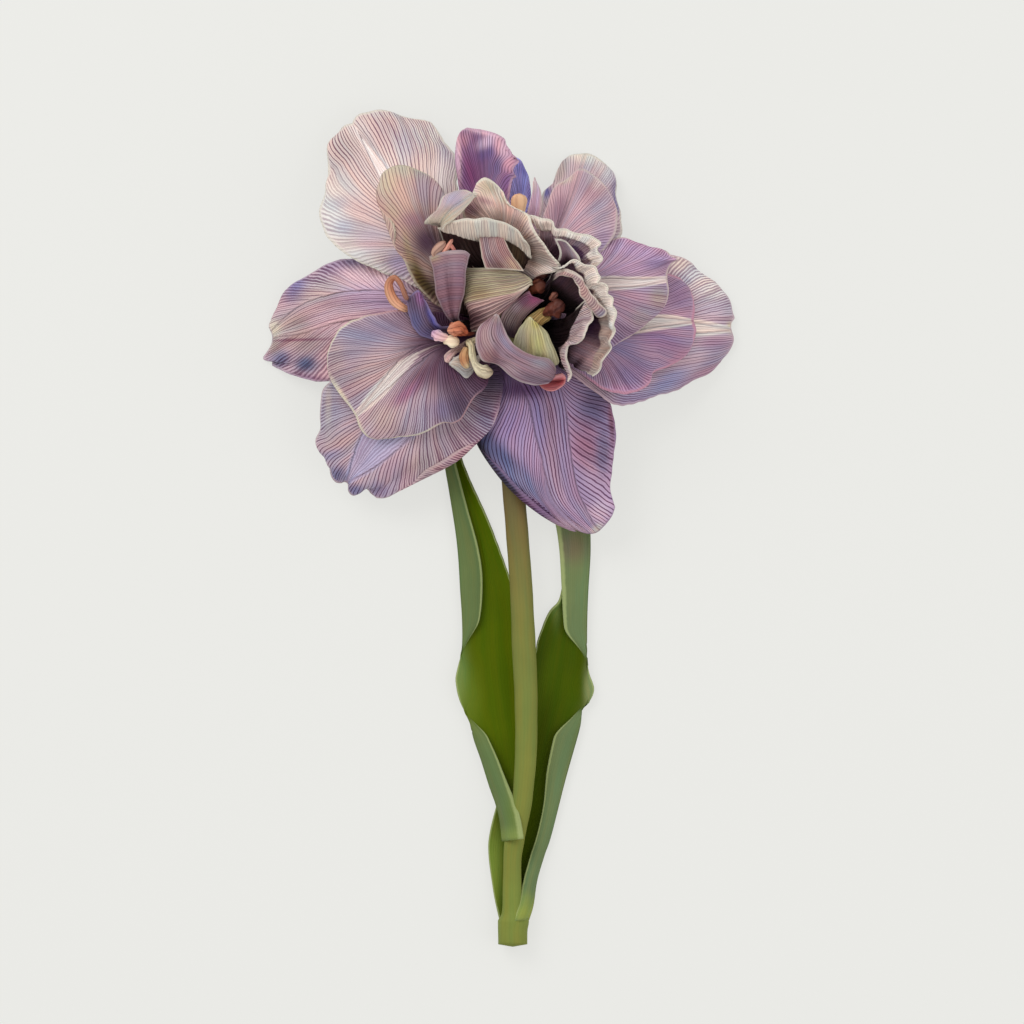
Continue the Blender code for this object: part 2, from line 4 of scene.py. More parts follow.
import bmesh
import bpy
import numpy as np
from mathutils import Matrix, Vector


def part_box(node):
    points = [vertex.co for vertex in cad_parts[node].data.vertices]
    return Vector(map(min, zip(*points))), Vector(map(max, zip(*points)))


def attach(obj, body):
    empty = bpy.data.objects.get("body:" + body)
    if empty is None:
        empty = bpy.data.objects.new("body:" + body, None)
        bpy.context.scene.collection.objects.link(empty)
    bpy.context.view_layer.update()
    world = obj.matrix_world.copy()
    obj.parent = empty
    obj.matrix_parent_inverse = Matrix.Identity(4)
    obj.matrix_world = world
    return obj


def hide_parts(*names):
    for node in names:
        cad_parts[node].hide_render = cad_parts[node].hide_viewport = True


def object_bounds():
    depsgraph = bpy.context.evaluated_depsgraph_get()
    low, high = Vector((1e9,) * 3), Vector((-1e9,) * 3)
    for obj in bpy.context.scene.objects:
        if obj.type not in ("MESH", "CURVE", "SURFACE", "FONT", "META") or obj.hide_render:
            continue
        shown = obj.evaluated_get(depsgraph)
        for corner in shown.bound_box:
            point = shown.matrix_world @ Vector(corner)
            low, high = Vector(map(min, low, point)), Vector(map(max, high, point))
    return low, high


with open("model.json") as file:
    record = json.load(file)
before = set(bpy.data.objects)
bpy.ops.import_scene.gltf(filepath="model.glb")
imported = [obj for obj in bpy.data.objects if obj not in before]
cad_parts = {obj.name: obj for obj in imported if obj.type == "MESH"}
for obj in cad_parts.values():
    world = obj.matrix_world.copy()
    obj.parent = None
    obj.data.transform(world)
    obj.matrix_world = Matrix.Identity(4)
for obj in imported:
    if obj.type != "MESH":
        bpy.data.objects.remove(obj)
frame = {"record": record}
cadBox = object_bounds()
slotOf = {s["node"]: s["material_slot"] for s in frame["record"]["subparts"]}

mm = 0.001
tiny = 1e-9  # keeps divisions from failing
heartDepth = 5.2  # mm from the pistil's foot down to the middle of the receptacle
pistilLow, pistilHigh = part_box("pistil")
heart = np.array([
    (pistilLow.x + pistilHigh.x) / 2,
    (pistilLow.y + pistilHigh.y) / 2,
    pistilLow.z - heartDepth * mm,
])  # every petal starts here, and all lengths in the dictionaries are mm from here


# curves and noise

pointSteps = 12  # how finely a curve is measured, in steps per point
waveCount, waveSizes, waveRate, waveHeight = 7, (0.6, 1.7), 0.7, 0.8


def along(values, t):
    # the smooth curve through evenly spaced stations, t from 0 to 1
    values = np.asarray(values, float)
    t = np.clip(np.asarray(t, float), 0, 1) * (len(values) - 1)
    i = np.clip(t.astype(int), 0, len(values) - 2)
    f = t - i
    if values.ndim > 1:
        f = f[..., None]
    start, end = values[i], values[i + 1]
    before = values[np.maximum(i - 1, 0)]
    after = values[np.minimum(i + 2, len(values) - 1)]
    slopeIn, slopeOut, rise = (end - before) / 2, (after - start) / 2, end - start
    return (start + slopeIn * f + (3 * rise - 2 * slopeIn - slopeOut) * f**2
            + (slopeIn + slopeOut - 2 * rise) * f**3)


def distances(path):
    # how far along the path each of its points is
    return np.concatenate([[0], np.cumsum(np.linalg.norm(np.diff(path, axis=0), axis=1))])


def curve(points, t):
    # the smooth curve through points, with t as the share of its length
    points = np.asarray(points, float)
    length = distances(along(points, np.linspace(0, 1, pointSteps * len(points))))
    share = np.interp(np.asarray(t, float) * length[-1], length, np.linspace(0, 1, len(length)))
    return along(points, share)


def smooth(low, high, x):
    t = np.clip((x - low) / (high - low), 0, 1)
    return t * t * (3 - 2 * t)


def unit(vectors):
    return vectors / np.maximum(np.linalg.norm(vectors, axis=-1, keepdims=True), tiny)


def waves(x, y, seed):
    # soft noise between about -1 and 1, one feature per unit
    draw = np.random.default_rng(seed)
    total = np.zeros(np.broadcast(x, y).shape)
    for _ in range(waveCount):
        angle, size, phase = draw.uniform(0, 2 * math.pi), draw.uniform(*waveSizes), draw.uniform(0, 6.28)
        across = x * math.cos(angle) + y * math.sin(angle)
        total += np.sin(2 * math.pi * size * across * waveRate + phase)
    return total / math.sqrt(waveCount) * waveHeight


# the sheet that every petal and leaf is bent from

usual = dict(  # what a sheet has unless its own dictionary says otherwise
    # faces across and along, how much closer the rows stand at the tip, and how late the height bends outwards
    grid=(88, 104), crowd=1.15, bend=1.6,
    # heights over the midrib's in stations from base to tip, and where the pull to the tip's outline begins
    belly=(0, 0), leftUp=(0, 0), rightUp=(0, 0), tipFrom=0.3,
    # a fold is a side, begin, end, the share across where it creases, its width back and its rise
    folds=(), ease=0.12,
    frill=0.12, ruffle=0.8, ruffleWide=7.0, ruffleLong=9.0, sway=0.7,
    pleat=0.12, pleatEvery=4, groove=0.4, rimFall=0.25,
    # veins fan out, run long, lie across or are pinnate; ribs are the long lines beside the midrib
    pattern="fan", corner=0.9, bow=0.72, turn=0, pole=0.95, straight=(0, 0), ribs=3, ribWide=1.2,
    # the gap between veins above which they fork, and the strength of their colour
    gap=0.68, ink=1.0,
    # a shade band is begin, end, colour and strength along the sheet, a near-black painted shade towards the base, a
    # strip a colour and its widths behind the tip, and a patch x, y, wide, high, angle, colour, strength and how much
    # less ink there
    # dark patches at bases, beside the cavity and under folds are painted shade as well as colour
    rimFrom=0.25, bands=(), strips=(), patches=(),
)

# shares of the length, by v, in which a thing comes in or goes
frillIn, swayIn, pleatIn, grooveIn, grooveOut = (0.1, 0.4), (0.05, 0.4), (0.08, 0.35), (0, 0.2), (0.85, 1)
# lengths in mm
frillLong, frillWide, swayLong, grooveWide = 3.2, 3.0, 22, 1.7
pleatEdge, rimWide, dropSoft, bandLeast, besideLeast = 1.5, 1.0, 0.5, 0.05, 0.5
marginCrowd = 1.2  # how much closer the columns stand at the margins
foldNarrow, foldSoft = 2.4, 0.2  # a fold is at its full width this many eases from its ends, and its colour earlier
foldRoll, foldArch = 1.2, 0.62  # how the turned margin lies back, and how much of a half turn its lift goes through
foldRise = 0.3  # the share of the turned margin over which its lift comes in
creaseEdge, turnedEdge = (-0.12, -0.03), (-0.06, 0.03)  # shares across, from where it creases
tipSteps, tipPull, tipFar = 200, 1.3, 0.9
ruffleTaper = 1.5
ribEnd, ribTaper, ribLeast = 1.02, 0.7, 0.15
inside = 0.999  # keeps the fan's margin off the circle on which its veins end
eyeMiddle, eyeHeight = np.array([1.9, -50.5]), 1485


def marginLine(points, lift, mid, v):
    # a margin through points in plan, at the midrib's height plus lift, or at its own height
    line = curve(points, v)
    if line.shape[1] == 3:
        return line
    return np.column_stack([line, mid[:, 2] + along(lift, v)])


def stations(value):
    # a plain number as two equal stations
    return value if isinstance(value, tuple) else (value, value)


def foldBack(fold, ease, s, half, v):
    # one fold: the shares across once it is bent back, its lift, and what of it is crease and what is turned over
    _, begin, end, at, back, rise = fold
    window = (smooth(begin, begin + ease, v) * (1 - smooth(end - ease, end, v)))[:, None]
    # it narrows to nothing before the crease goes flat
    full = foldNarrow * ease
    narrow = (smooth(begin + ease, begin + full, v) * (1 - smooth(end - full, end - ease, v)))[:, None]
    back, rise = (along(stations(value), (v - begin) / (end - begin))[:, None] * narrow for value in (back, rise))
    over = np.clip((s - at) / (1 - at), 0, 1)
    bent = np.where(s < at, s / at, 1 - over**foldRoll * back / half)
    lift = window * rise * np.sin(over * math.pi * foldArch) * smooth(0, foldRise, over)
    crease = window * smooth(*(at + shift for shift in creaseEdge), s)
    turned = window * smooth(0, foldSoft, narrow) * smooth(*(at + shift for shift in turnedEdge), s)
    return s * (1 - window) + bent * window, lift, crease, turned


def pullTip(grid, mid, placed, v, shape):
    # the last row onto the tip's outline, from the left margin's end to the right one's, and the rows before it partly
    first, last = shape.get("ends", (shape["left"][-1][:2], shape["right"][-1][:2]))
    tip = np.array([first, *shape["tip"], last], float)
    fine = curve(tip, np.linspace(0, 1, tipSteps + 1))
    nearest = np.argmin(np.linalg.norm(fine - mid[-1, :2], axis=1)) / tipSteps
    at = np.where(placed < 0, nearest * (1 + placed), nearest + (1 - nearest) * placed)
    pull = curve(tip, at) - grid[-1, :, :2]
    grid[..., :2] += pull[None] * (smooth(shape["tipFrom"], 1, v) ** tipPull)[:, None, None]


def sheetGrid(shape):
    # rows of points from the left margin over the midrib to the right one, from base to tip
    columns, rows = shape["grid"]
    side = np.linspace(-1, 1, columns + 1)
    u = np.sign(side) * (1 - (1 - np.abs(side)) ** marginCrowd)
    v = 1 - (1 - np.linspace(0, 1, rows + 1)) ** shape["crowd"]
    mid = curve(shape["mid"], v)
    length = np.linalg.norm(np.diff(mid, axis=0), axis=1).sum()
    grid = np.zeros((rows + 1, columns + 1, 3))
    toEdge, folded, crease = (np.zeros((rows + 1, columns + 1)) for _ in range(3))
    placed = np.zeros(columns + 1)
    belly = along(shape["belly"], v)
    for sign, name in ((-1, "left"), (1, "right")):
        on = (u * sign > 0) | ((u == 0) & (sign == 1))
        edge = marginLine(shape[name], shape[name + "Up"], mid, v)
        half = np.linalg.norm(edge - mid, axis=1)[:, None]
        s = np.abs(u[on])[None, :] * np.ones((rows + 1, 1))
        toEdge[:, on] = (1 - s) * half
        lift = np.zeros_like(s)
        for fold in shape["folds"]:
            if fold[0] == sign:
                s, rise, creased, turned = foldBack(fold, shape["ease"], s, half, v)
                lift += rise
                crease[:, on] = np.maximum(crease[:, on], creased)
                folded[:, on] = np.maximum(folded[:, on], turned)
        plan = mid[:, None, :2] + (edge - mid)[:, None, :2] * s[..., None]
        s0 = np.clip(s, 0, 1)
        placed[on] = sign * s[-1]
        height = mid[:, None, 2] + (edge - mid)[:, None, 2] * s0 ** shape["bend"]
        height = height + belly[:, None] * 4 * s0 * (1 - s0) + lift
        grid[:, on] = np.concatenate([plan, height[..., None]], axis=2)
    if "tip" in shape:
        pullTip(grid, mid, placed, v, shape)
    toEdge = np.minimum(toEdge, (1 - v)[:, None] * length * tipFar)
    u, v = np.broadcast_to(u, toEdge.shape), np.broadcast_to(v[:, None], toEdge.shape)
    # small frills in plan along the margins
    out = unit(np.gradient(grid, axis=1)) * (np.sign(u) * (1 - crease))[..., None]
    grid = grid + out * (shape["frill"] * waves(v * length / frillLong, np.sign(u), shape["seed"] + 9)
                         * smooth(frillWide, 0.0, toEdge) * smooth(*frillIn, v))[..., None]
    return grid, u, v, toEdge, folded, crease, length


def fanPhase(u, v, shape):
    # veins rise from a point near the base, fan out and arc to meet the margin squarely
    corner, pole = shape["corner"], -1j * shape["pole"]
    bowed = np.sign(u) * np.abs(u) ** shape["bow"]
    topY = np.sqrt(1 - (bowed * math.sin(corner)) ** 2)
    y = -1 + v * (1 + topY)
    edgeY = -1 + v * (1 + math.cos(corner))
    z = bowed * np.sqrt(np.maximum(1 - edgeY**2, 0)) + 1j * y
    z = z * np.exp(1j * math.radians(shape["turn"])) * inside
    w = (z - pole) / (1 - np.conj(pole) * z)
    w = w / np.maximum(np.abs(w), tiny)
    far = (w + pole) / (1 + np.conj(pole) * w)
    phase = shape["veins"] * np.arctan2(far.real, far.imag) / math.pi
    # some of them may keep along the petal instead
    straight = np.where(bowed < 0, *shape["straight"])
    return phase * (1 - straight) + shape["veins"] * bowed / 2 * straight


def veinPhase(u, v, shape, toMid):
    # a field that grows by one from each vein to the next
    pattern = shape["pattern"]
    if pattern == "long":
        return shape["veins"] * u / 2
    if pattern == "across":
        return shape["veins"] * v
    band = np.maximum(along(shape.get("band", (0, 0)), v), bandLeast)
    beside = np.abs(toMid) - band
    if pattern == "pinnate":
        # side veins leave the midrib and bend to the margin
        half = np.where(u < 0, np.abs(toMid[:, [0]]), np.abs(toMid[:, [-1]]))
        share = np.clip(beside / np.maximum(half - band, besideLeast), 0, 1)
        beyond = shape["veins"] * (v - np.where(u < 0, *shape["climb"]) * share ** shape["bow"])
    else:
        beyond = fanPhase(u, v, shape)
        if "band" not in shape:
            wide = shape["ribWide"] * np.sin(np.clip(v * ribEnd, 0, 1) * math.pi) ** ribTaper + ribLeast
            return beyond + np.arctan(toMid / wide) / math.pi * shape["ribs"]
    # a few long lines in a band along the midrib
    return np.where(beside > 0, beyond, toMid / band * shape["ribs"] / 2)


def stripEdge(grid, u, wide):
    # how far outside of a strip along the tip's outline, in mm in plan; wide is its width from left to right
    return np.linalg.norm((grid - grid[-1])[..., :2], axis=2) - along(wide, (u + 1) / 2)


def ruffleGrid(grid, u, v, toEdge, crease, shape):
    # the sheet lifted into ruffles, sways and pleats, with its vein field and its distance from the midrib
    seed = shape["seed"]
    normal = unit(np.cross(np.gradient(grid, axis=1), np.gradient(grid, axis=0)))
    normal = unit(normal * (1 - crease)[..., None] + np.array([0, 0, 1.0]) * crease[..., None])
    toMid = np.sign(u) * np.linalg.norm(grid - grid[:, [grid.shape[1] // 2]], axis=2)
    phase = veinPhase(u, v, shape, toMid)
    x, y = grid[..., 0], grid[..., 1]
    rim = smooth(shape["ruffleWide"], 0.0, toEdge)
    lift = shape["ruffle"] * rim**ruffleTaper * waves(x / shape["ruffleLong"], y / shape["ruffleLong"], seed + 2)
    lift += shape["sway"] * waves(x / swayLong, y / swayLong, seed + 3) * smooth(*swayIn, v)
    pleats = np.sin(phase / shape["pleatEvery"] * 2 * math.pi)
    lift += shape["pleat"] * pleats * smooth(*pleatIn, v) * smooth(0, pleatEdge, toEdge)
    groove = np.exp(-((toMid / grooveWide) ** 2)) * shape["groove"]
    lift -= groove * smooth(*grooveIn, v) * (1 - smooth(*grooveOut, v))
    lift -= shape["rimFall"] * smooth(rimWide, 0.0, toEdge)
    if "drop" in shape:
        # what lies behind the last strip stands lower
        lift -= shape["drop"] * smooth(-dropSoft, dropSoft, stripEdge(grid, u, shape["strips"][-1][1]))
    return grid + normal * lift[..., None], phase, toMid


def asSeen(points):
    # outlines are stated as they look from above the flower's middle, so what stands nearer to the eye moves in
    placed = points.copy()
    placed[..., :2] = eyeMiddle + (points[..., :2] - eyeMiddle) * (1 - points[..., 2:] / eyeHeight)
    return placed


# colours

foldShare, midribInk, patchSoft = 0.95, 0.45, 1.3
stripSoft, grooveShadeEdge, seamPlain = 0.25, (0.45, 0.1), (0.3, 0.7)  # mm
midribTaper, midribLeast, midribEdge = 0.75, 0.05, (1.2, 0.9)
rootShadeEdge, rimIn = (0.4, 1.15), 0.15
grooveShade = np.array([0.34, 0.4, 0.36])  # painted shade in the groove beside a band of long veins: what it takes from the colour


def linear(colour):
    # a written colour, such as "c8b4be", as linear light
    parts = np.array([int(colour[i:i + 2], 16) / 255 for i in (0, 2, 4)])
    return np.where(parts <= 0.04045, parts / 12.92, ((parts + 0.055) / 1.055) ** 2.4)


def tintGrid(grid, u, v, toMid, folded, shape):
    # the colour and the strength of the veins at each point
    tint = np.broadcast_to(linear(shape["colour"]), u.shape + (3,)).copy()

    def lay(colour, share):
        share = np.clip(share, 0, 1)[..., None]
        tint[:] = tint * (1 - share) + linear(colour) * share

    if "side" in shape:
        colour, begin, end, strength = shape["side"]
        lay(colour, strength * smooth(begin, end, u))
    # painted shade of the cavity, laid darker towards the base
    for begin, end, colour, strength in shape["bands"]:
        lay(colour, strength * smooth(begin, end, v))
    if "foldColour" in shape:
        lay(shape["foldColour"], folded * foldShare)
    ink = np.full(u.shape, shape["ink"])
    # patches lay the local colour; the dark ones at the bases, beside the cavity and under folds are painted shade as
    # well
    for x, y, wide, high, angle, colour, strength, *less in shape["patches"]:
        dx, dy = grid[..., 0] - x, grid[..., 1] - y
        turn = math.radians(angle)
        a, b = dx * math.cos(turn) + dy * math.sin(turn), dy * math.cos(turn) - dx * math.sin(turn)
        share = np.exp(-((a / wide) ** 2 + (b / high) ** 2) ** patchSoft)
        lay(colour, strength * share)
        ink *= 1 - share * sum(less)
    for colour, wide in shape["strips"]:
        lay(colour, smooth(stripSoft, -stripSoft, stripEdge(grid, u, wide)))
    if "midrib" in shape:
        colour, wide, begin, end, strength = shape["midrib"]
        width = wide * np.sin(np.clip((v - begin) / (end - begin), 0, 1) * math.pi) ** midribTaper + midribLeast
        band = smooth(*midribEdge, np.abs(toMid) / width)
        lay(colour, strength * band)
        ink *= 1 - midribInk * band
    if "band" in shape:
        # a groove kept plain of veins where the side veins meet the long ones, darkened with painted shade
        beside = np.abs(np.abs(toMid) - np.maximum(along(shape["band"], v), bandLeast))
        ink *= smooth(*seamPlain, beside)
        tint *= 1 - smooth(*grooveShadeEdge, beside)[..., None] * grooveShade
    # painted shade: each petal's base darkens into the shade of the cavity it stands in
    if "root" in shape:
        colour, far = shape["root"]
        lay(colour, 1 - smooth(*(far * edge for edge in rootShadeEdge), v))
    return tint, ink


def rimGrid(v, shape):
    # the colour and the strength of the line along the margin
    colour, _, strength = shape["rim"]
    rim = np.broadcast_to(linear(colour), v.shape + (3,))
    if "rimBase" in shape:
        # another colour along the margin nearer the base: the margin's own colour, and on the petals down in the cavity
        # a near-black painted shade
        colour, begin, end = shape["rimBase"]
        late = smooth(begin, end, v)[..., None]
        rim = linear(colour) * (1 - late) + rim * late
    return rim, strength * smooth(0, rimIn, v - shape["rimFrom"])


# meshes

forkMost = 2  # octaves
gapLeast = 0.02


def newLayers(bm):
    verts = bm.verts.layers
    return (bm.loops.layers.uv.new("UVMap"), verts.float_color.new("tint"), verts.float_color.new("rim"),
            verts.float_vector.new("vein"))


def addGrid(bm, columns, rows, uvLayer):
    # a flat grid of faces, given as each vert with its column and row
    made = bmesh.ops.create_grid(bm, x_segments=columns, y_segments=rows, size=0.5)["verts"]
    for vert in made:
        c, r = round((vert.co.x + 0.5) * columns), round((vert.co.y + 0.5) * rows)
        for loop in vert.link_loops:
            loop[uvLayer].uv = (c / columns, r / rows)
        yield vert, c, r


def newPiece(name, bm, finish):
    for face in bm.faces:
        face.smooth = True
    mesh = bpy.data.meshes.new(name)
    bm.to_mesh(mesh)
    bm.free()
    piece = bpy.data.objects.new(name, mesh)
    bpy.context.scene.collection.objects.link(piece)
    piece.data.materials.append(finish)
    return piece


def settle(piece, node):
    # the piece goes with the part's one body, in place of the node's plain solid
    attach(piece, "root")
    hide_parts(node)


def makeSheet(name, shape, finish, thickness):
    points, u, v, toEdge, folded, crease, length = sheetGrid(shape)
    points, phase, toMid = ruffleGrid(points, u, v, toEdge, crease, shape)
    tint, ink = tintGrid(points, u, v, toMid, folded, shape)
    rim, rimShare = rimGrid(v, shape)
    _, rimLine, _ = shape["rim"]
    # the distance between veins, in octaves above the usual one, for the veins that fork off between them
    steps = [np.gradient(phase, axis=i) / np.maximum(np.linalg.norm(np.gradient(points, axis=i), axis=2), gapLeast)
             for i in (0, 1)]
    fork = np.log2(1 / np.maximum(np.hypot(*steps), gapLeast) / shape["gap"])
    points = asSeen(points) * mm + heart
    bm = bmesh.new()
    uvLayer, tintLayer, rimLayer, veinLayer = newLayers(bm)
    forkLayer = bm.verts.layers.float.new("fork")
    for vert, c, r in addGrid(bm, *shape["grid"], uvLayer):
        vert[tintLayer] = (*tint[r, c], ink[r, c])
        vert[rimLayer] = (*rim[r, c], rimShare[r, c])
        vert[veinLayer] = (phase[r, c], v[r, c] * length, toEdge[r, c] / rimLine)
        vert[forkLayer] = np.clip(fork[r, c], -forkMost, forkMost)
        vert.co = points[r, c]
    piece = newPiece(name, bm, finish)
    solid = piece.modifiers.new("thickness", "SOLIDIFY")
    solid.thickness = thickness * mm
    solid.offset = 0
    return piece


def addSheets(shapes, family, thickness, ending):
    for node, shape in shapes.items():
        piece = makeSheet(node + ending, {**usual, **family, **shape}, finishes[slotOf[node]], thickness)
        settle(piece, node)


# finishes

finishOf = {
    "petal": {"depth": 0.00016, "ink": (0.3, 0.17, 0.27), "crest": 0.2, "gloss": 0.25},
    "green": {"depth": 0.00003, "ink": (0.6, 0.62, 0.5), "crest": 0.04, "gloss": 0.05},
}
greenSlots = ("leaf_green", "stem_green")
noises = {"wander": (130.0, 3.0, 0.5), "fine": (700.0, 4.0, 0.6), "cloud": (60.0, 4.0, 0.5)}  # scale, detail, roughness
streaky = {"thick": (0.9, 0.06, 3.0), "hue": (0.35, 0.035, 7.0)}  # features across and along the veins, and where
lineEdges = {"main": (0.58, 0.92), "forked": (0.62, 0.95), "small": (0.66, 1.0)}
forkedIn, smallIn = (-0.15, 0.75), (0.7, 1.6)  # octaves
wanderShare, fineShare, thickShare = 0.8, 0.24, 0.7
inkCloud, inkLow = 0.9, 0.5
inkEdge, rimEdge, rimRagged = (0.6, 1.8), (1.5, 0.9), 0.5  # in widths of the rim
mottled, mottleLow, hueEdge, hueShare = 0.4, 0.8, (0.34, 0.66), 0.85
warm, cool = (1.1, 0.97, 0.95, 1), (0.89, 0.96, 1.03, 1)
bumpStrength, bumpFine = 0.85, 0.35
roughness, roughSpread = 0.5, 0.2


def addNode(tree, kind, inputs=(), **settings):
    node = tree.nodes.new(kind)
    for name, value in settings.items():
        setattr(node, name, value)
    for name, value in dict(inputs).items():
        if hasattr(value, "is_output"):
            tree.links.new(value, node.inputs[name])
        else:
            node.inputs[name].default_value = value
    return node


def maths(tree, operation, a, b=0.0, c=0.0, clamp=False):
    node = addNode(tree, "ShaderNodeMath", {0: a, 1: b, 2: c}, operation=operation, use_clamp=clamp)
    return node.outputs[0]


def mixColour(tree, share, a, b, blend="MIX"):
    node = addNode(tree, "ShaderNodeMix", {0: share, 6: a, 7: b}, data_type="RGBA", blend_type=blend)
    return node.outputs[2]


def ramp(tree, value, low, high):
    # value taken from low..high to 0..1, softly
    node = addNode(tree, "ShaderNodeMapRange", {"Value": value, "From Min": low, "From Max": high},
                   interpolation_type="SMOOTHSTEP", clamp=True)
    return node.outputs["Result"]


def newMaterial(name):
    material = bpy.data.materials.new(name)
    material.use_nodes = True
    return material, material.node_tree, material.node_tree.nodes["Principled BSDF"]


def petalFinish(name, depth, ink, crest, gloss):
    material, tree, shader = newMaterial(name)
    tint, rim, vein, fork = (addNode(tree, "ShaderNodeAttribute", attribute_name=layer)
                             for layer in ("tint", "rim", "vein", "fork"))
    parts = addNode(tree, "ShaderNodeSeparateXYZ", {0: vein.outputs["Vector"]})
    phase, reach, edge = (parts.outputs[axis] for axis in "XYZ")
    place = addNode(tree, "ShaderNodeTexCoord").outputs["Object"]

    def times(a, b, plus=None, clamp=False):
        if plus is None:
            return maths(tree, "MULTIPLY", a, b)
        return maths(tree, "MULTIPLY_ADD", a, b, plus, clamp)

    def noise(vector, scale, detail=2.0, rough=0.5):
        settings = {"Vector": vector, "Scale": scale, "Detail": detail, "Roughness": rough}
        return addNode(tree, "ShaderNodeTexNoise", settings).outputs["Fac"]

    def streaks(across, lengthwise, shift):
        # noise drawn out along the veins
        spot = {0: times(phase, across), 1: times(reach, lengthwise), 2: shift}
        return noise(addNode(tree, "ShaderNodeCombineXYZ", spot).outputs[0], 1.0)

    wander, fine, cloud = (noise(place, *noises[kind]) for kind in ("wander", "fine", "cloud"))
    drift = times(fine, fineShare, times(wander, wanderShare, -wanderShare / 2))
    moved = maths(tree, "ADD", phase, drift)
    thick = streaks(*streaky["thick"])

    def lines(kind, count, offset):
        # count lines in each unit of phase, thicker and thinner along their way
        ridge = maths(tree, "PINGPONG", times(moved, count, offset), 0.5)
        ridge = times(ridge, 2.0, times(thick, thickShare, -thickShare / 2))
        return ramp(tree, ridge, *lineEdges[kind])

    # forked and small veins come in where the main ones stand apart
    apart = fork.outputs["Fac"]
    forked = times(lines("forked", 1.0, 0.5), ramp(tree, apart, *forkedIn))
    small = times(lines("small", 2.0, 0.5), ramp(tree, apart, *smallIn))
    veins = maths(tree, "MAXIMUM", lines("main", 1.0, 0.0), maths(tree, "MAXIMUM", forked, small))
    strength = times(veins, times(cloud, inkCloud, inkLow, clamp=True))
    strength = times(times(strength, tint.outputs["Alpha"]), ramp(tree, edge, *inkEdge))
    # the colour is mottled, then streaked warm and cool
    mottle = times(cloud, mottled, mottleLow + crest)
    base = mixColour(tree, 1.0, tint.outputs["Color"], mottle, "MULTIPLY")
    shift = mixColour(tree, ramp(tree, streaks(*streaky["hue"]), *hueEdge), warm, cool)
    base = mixColour(tree, hueShare, base, shift, "MULTIPLY")
    inked = mixColour(tree, 1.0, base, (*ink, 1), "MULTIPLY")
    colour = mixColour(tree, strength, base, inked)
    rimShare = times(ramp(tree, times(fine, rimRagged, edge), *rimEdge), rim.outputs["Alpha"])
    colour = mixColour(tree, rimShare, colour, rim.outputs["Color"])
    tree.links.new(colour, shader.inputs["Base Color"])
    height = times(veins, -1.0, times(fine, bumpFine))
    bump = addNode(tree, "ShaderNodeBump", {"Height": height, "Strength": bumpStrength, "Distance": depth})
    tree.links.new(bump.outputs["Normal"], shader.inputs["Normal"])
    tree.links.new(times(fine, roughSpread, roughness - roughSpread / 2), shader.inputs["Roughness"])
    shader.inputs["Specular IOR Level"].default_value = gloss
    return material


finishes = {}
for slot in (m["slot"] for m in frame["record"]["materials"]):
    finishes[slot] = petalFinish(slot + "_finish", **finishOf["green" if slot in greenSlots else "petal"])


outerPetals = {}
outerPetals["left_petal"] = dict(
    mid=[(-6.8, 0.6, -0.6), (-20, 4.8, 1.5), (-32, 6, 1.2), (-44, 5, -3), (-54, 2, -9), (-62.6, -2.6, -16)],
    left=[(-6.6, -2), (-20, -9), (-34, -13.6), (-44, -15), (-51, -15), (-56, -14.1), (-60, -12.4), (-63, -11)],
    right=[(-6.6, 3), (-18, 13), (-30, 16), (-41.5, 18.3), (-47, 17), (-52, 14.3), (-56, 11.3), (-58.7, 8),
        (-60.4, 4.6)],
    tip=[(-63.2, -8.9), (-64.6, -9.8), (-65.4, -8.6), (-63.4, -5), (-63, -2.6), (-63.9, -0.3), (-63.4, 1.7),
        (-62, 3.7)],
    leftUp=(0, 0.5, 0, -1, -1.5, -0.5), rightUp=(0, 2, 1, -0.5, -1, -0.5), belly=(0, 1.5, 1, 0), tipFrom=0.76,
    grid=(112, 120), seed=3, groove=0.15, veins=34, gap=0.85, ink=0.85, band=(0.6, 1.8, 3.2, 3.9, 4.1, 3.8, 1.0),
    corner=0.75, ribs=7,
    colour="c8aab0", rim=("b9a4b4", 0.5, 0.5), root=("6a4a5c", 0.3),
    patches=((-40, 17.3, 7, 2.6, 8, "58567f", 0.85), (-56, 9.5, 3, 4.5, -25, "66649a", 0.85),
        (-49, 13.8, 5, 2.6, 40, "a096a6", 0.7, -0.2), (-45.5, 15.2, 4, 2.5, 0, "8c82a6", 0.7),
        (-50, 9, 8, 3.2, 25, "c2b2aa", 0.7), (-37, 13.2, 9, 3, 0, "e2c8d0", 0.85, 0.35),
        (-62.2, -1, 2.4, 2.6, 0, "dcd6bd", 0.95, 0.3), (-62.2, -5.8, 2, 2.6, 0, "c0bba0", 0.6),
        (-53.5, -10.5, 3.4, 2.6, 0, "44587e", 0.9), (-62, -10, 2.6, 2.6, 0, "5f6488", 0.6),
        (-36, 8, 9, 3, 0, "bda8c8", 0.6), (-30, 6, 8, 3, 0, "b9a2c2", 0.6), (-57, 0, 5, 4, 0, "a6968e", 0.75),
        (-54, -5, 7, 3, 0, "a48e88", 0.7), (-44, -7, 5, 4, 0, "bea0a4", 0.5), (-55, -4, 9, 0.4, 2, "7c3f5c", 0.8),
        (-60, -9, 2.4, 2.4, 0, "555c80", 0.8, -0.2), (-53.4, -14.4, 9, 1.2, -9, "84607e", 0.85)),
)
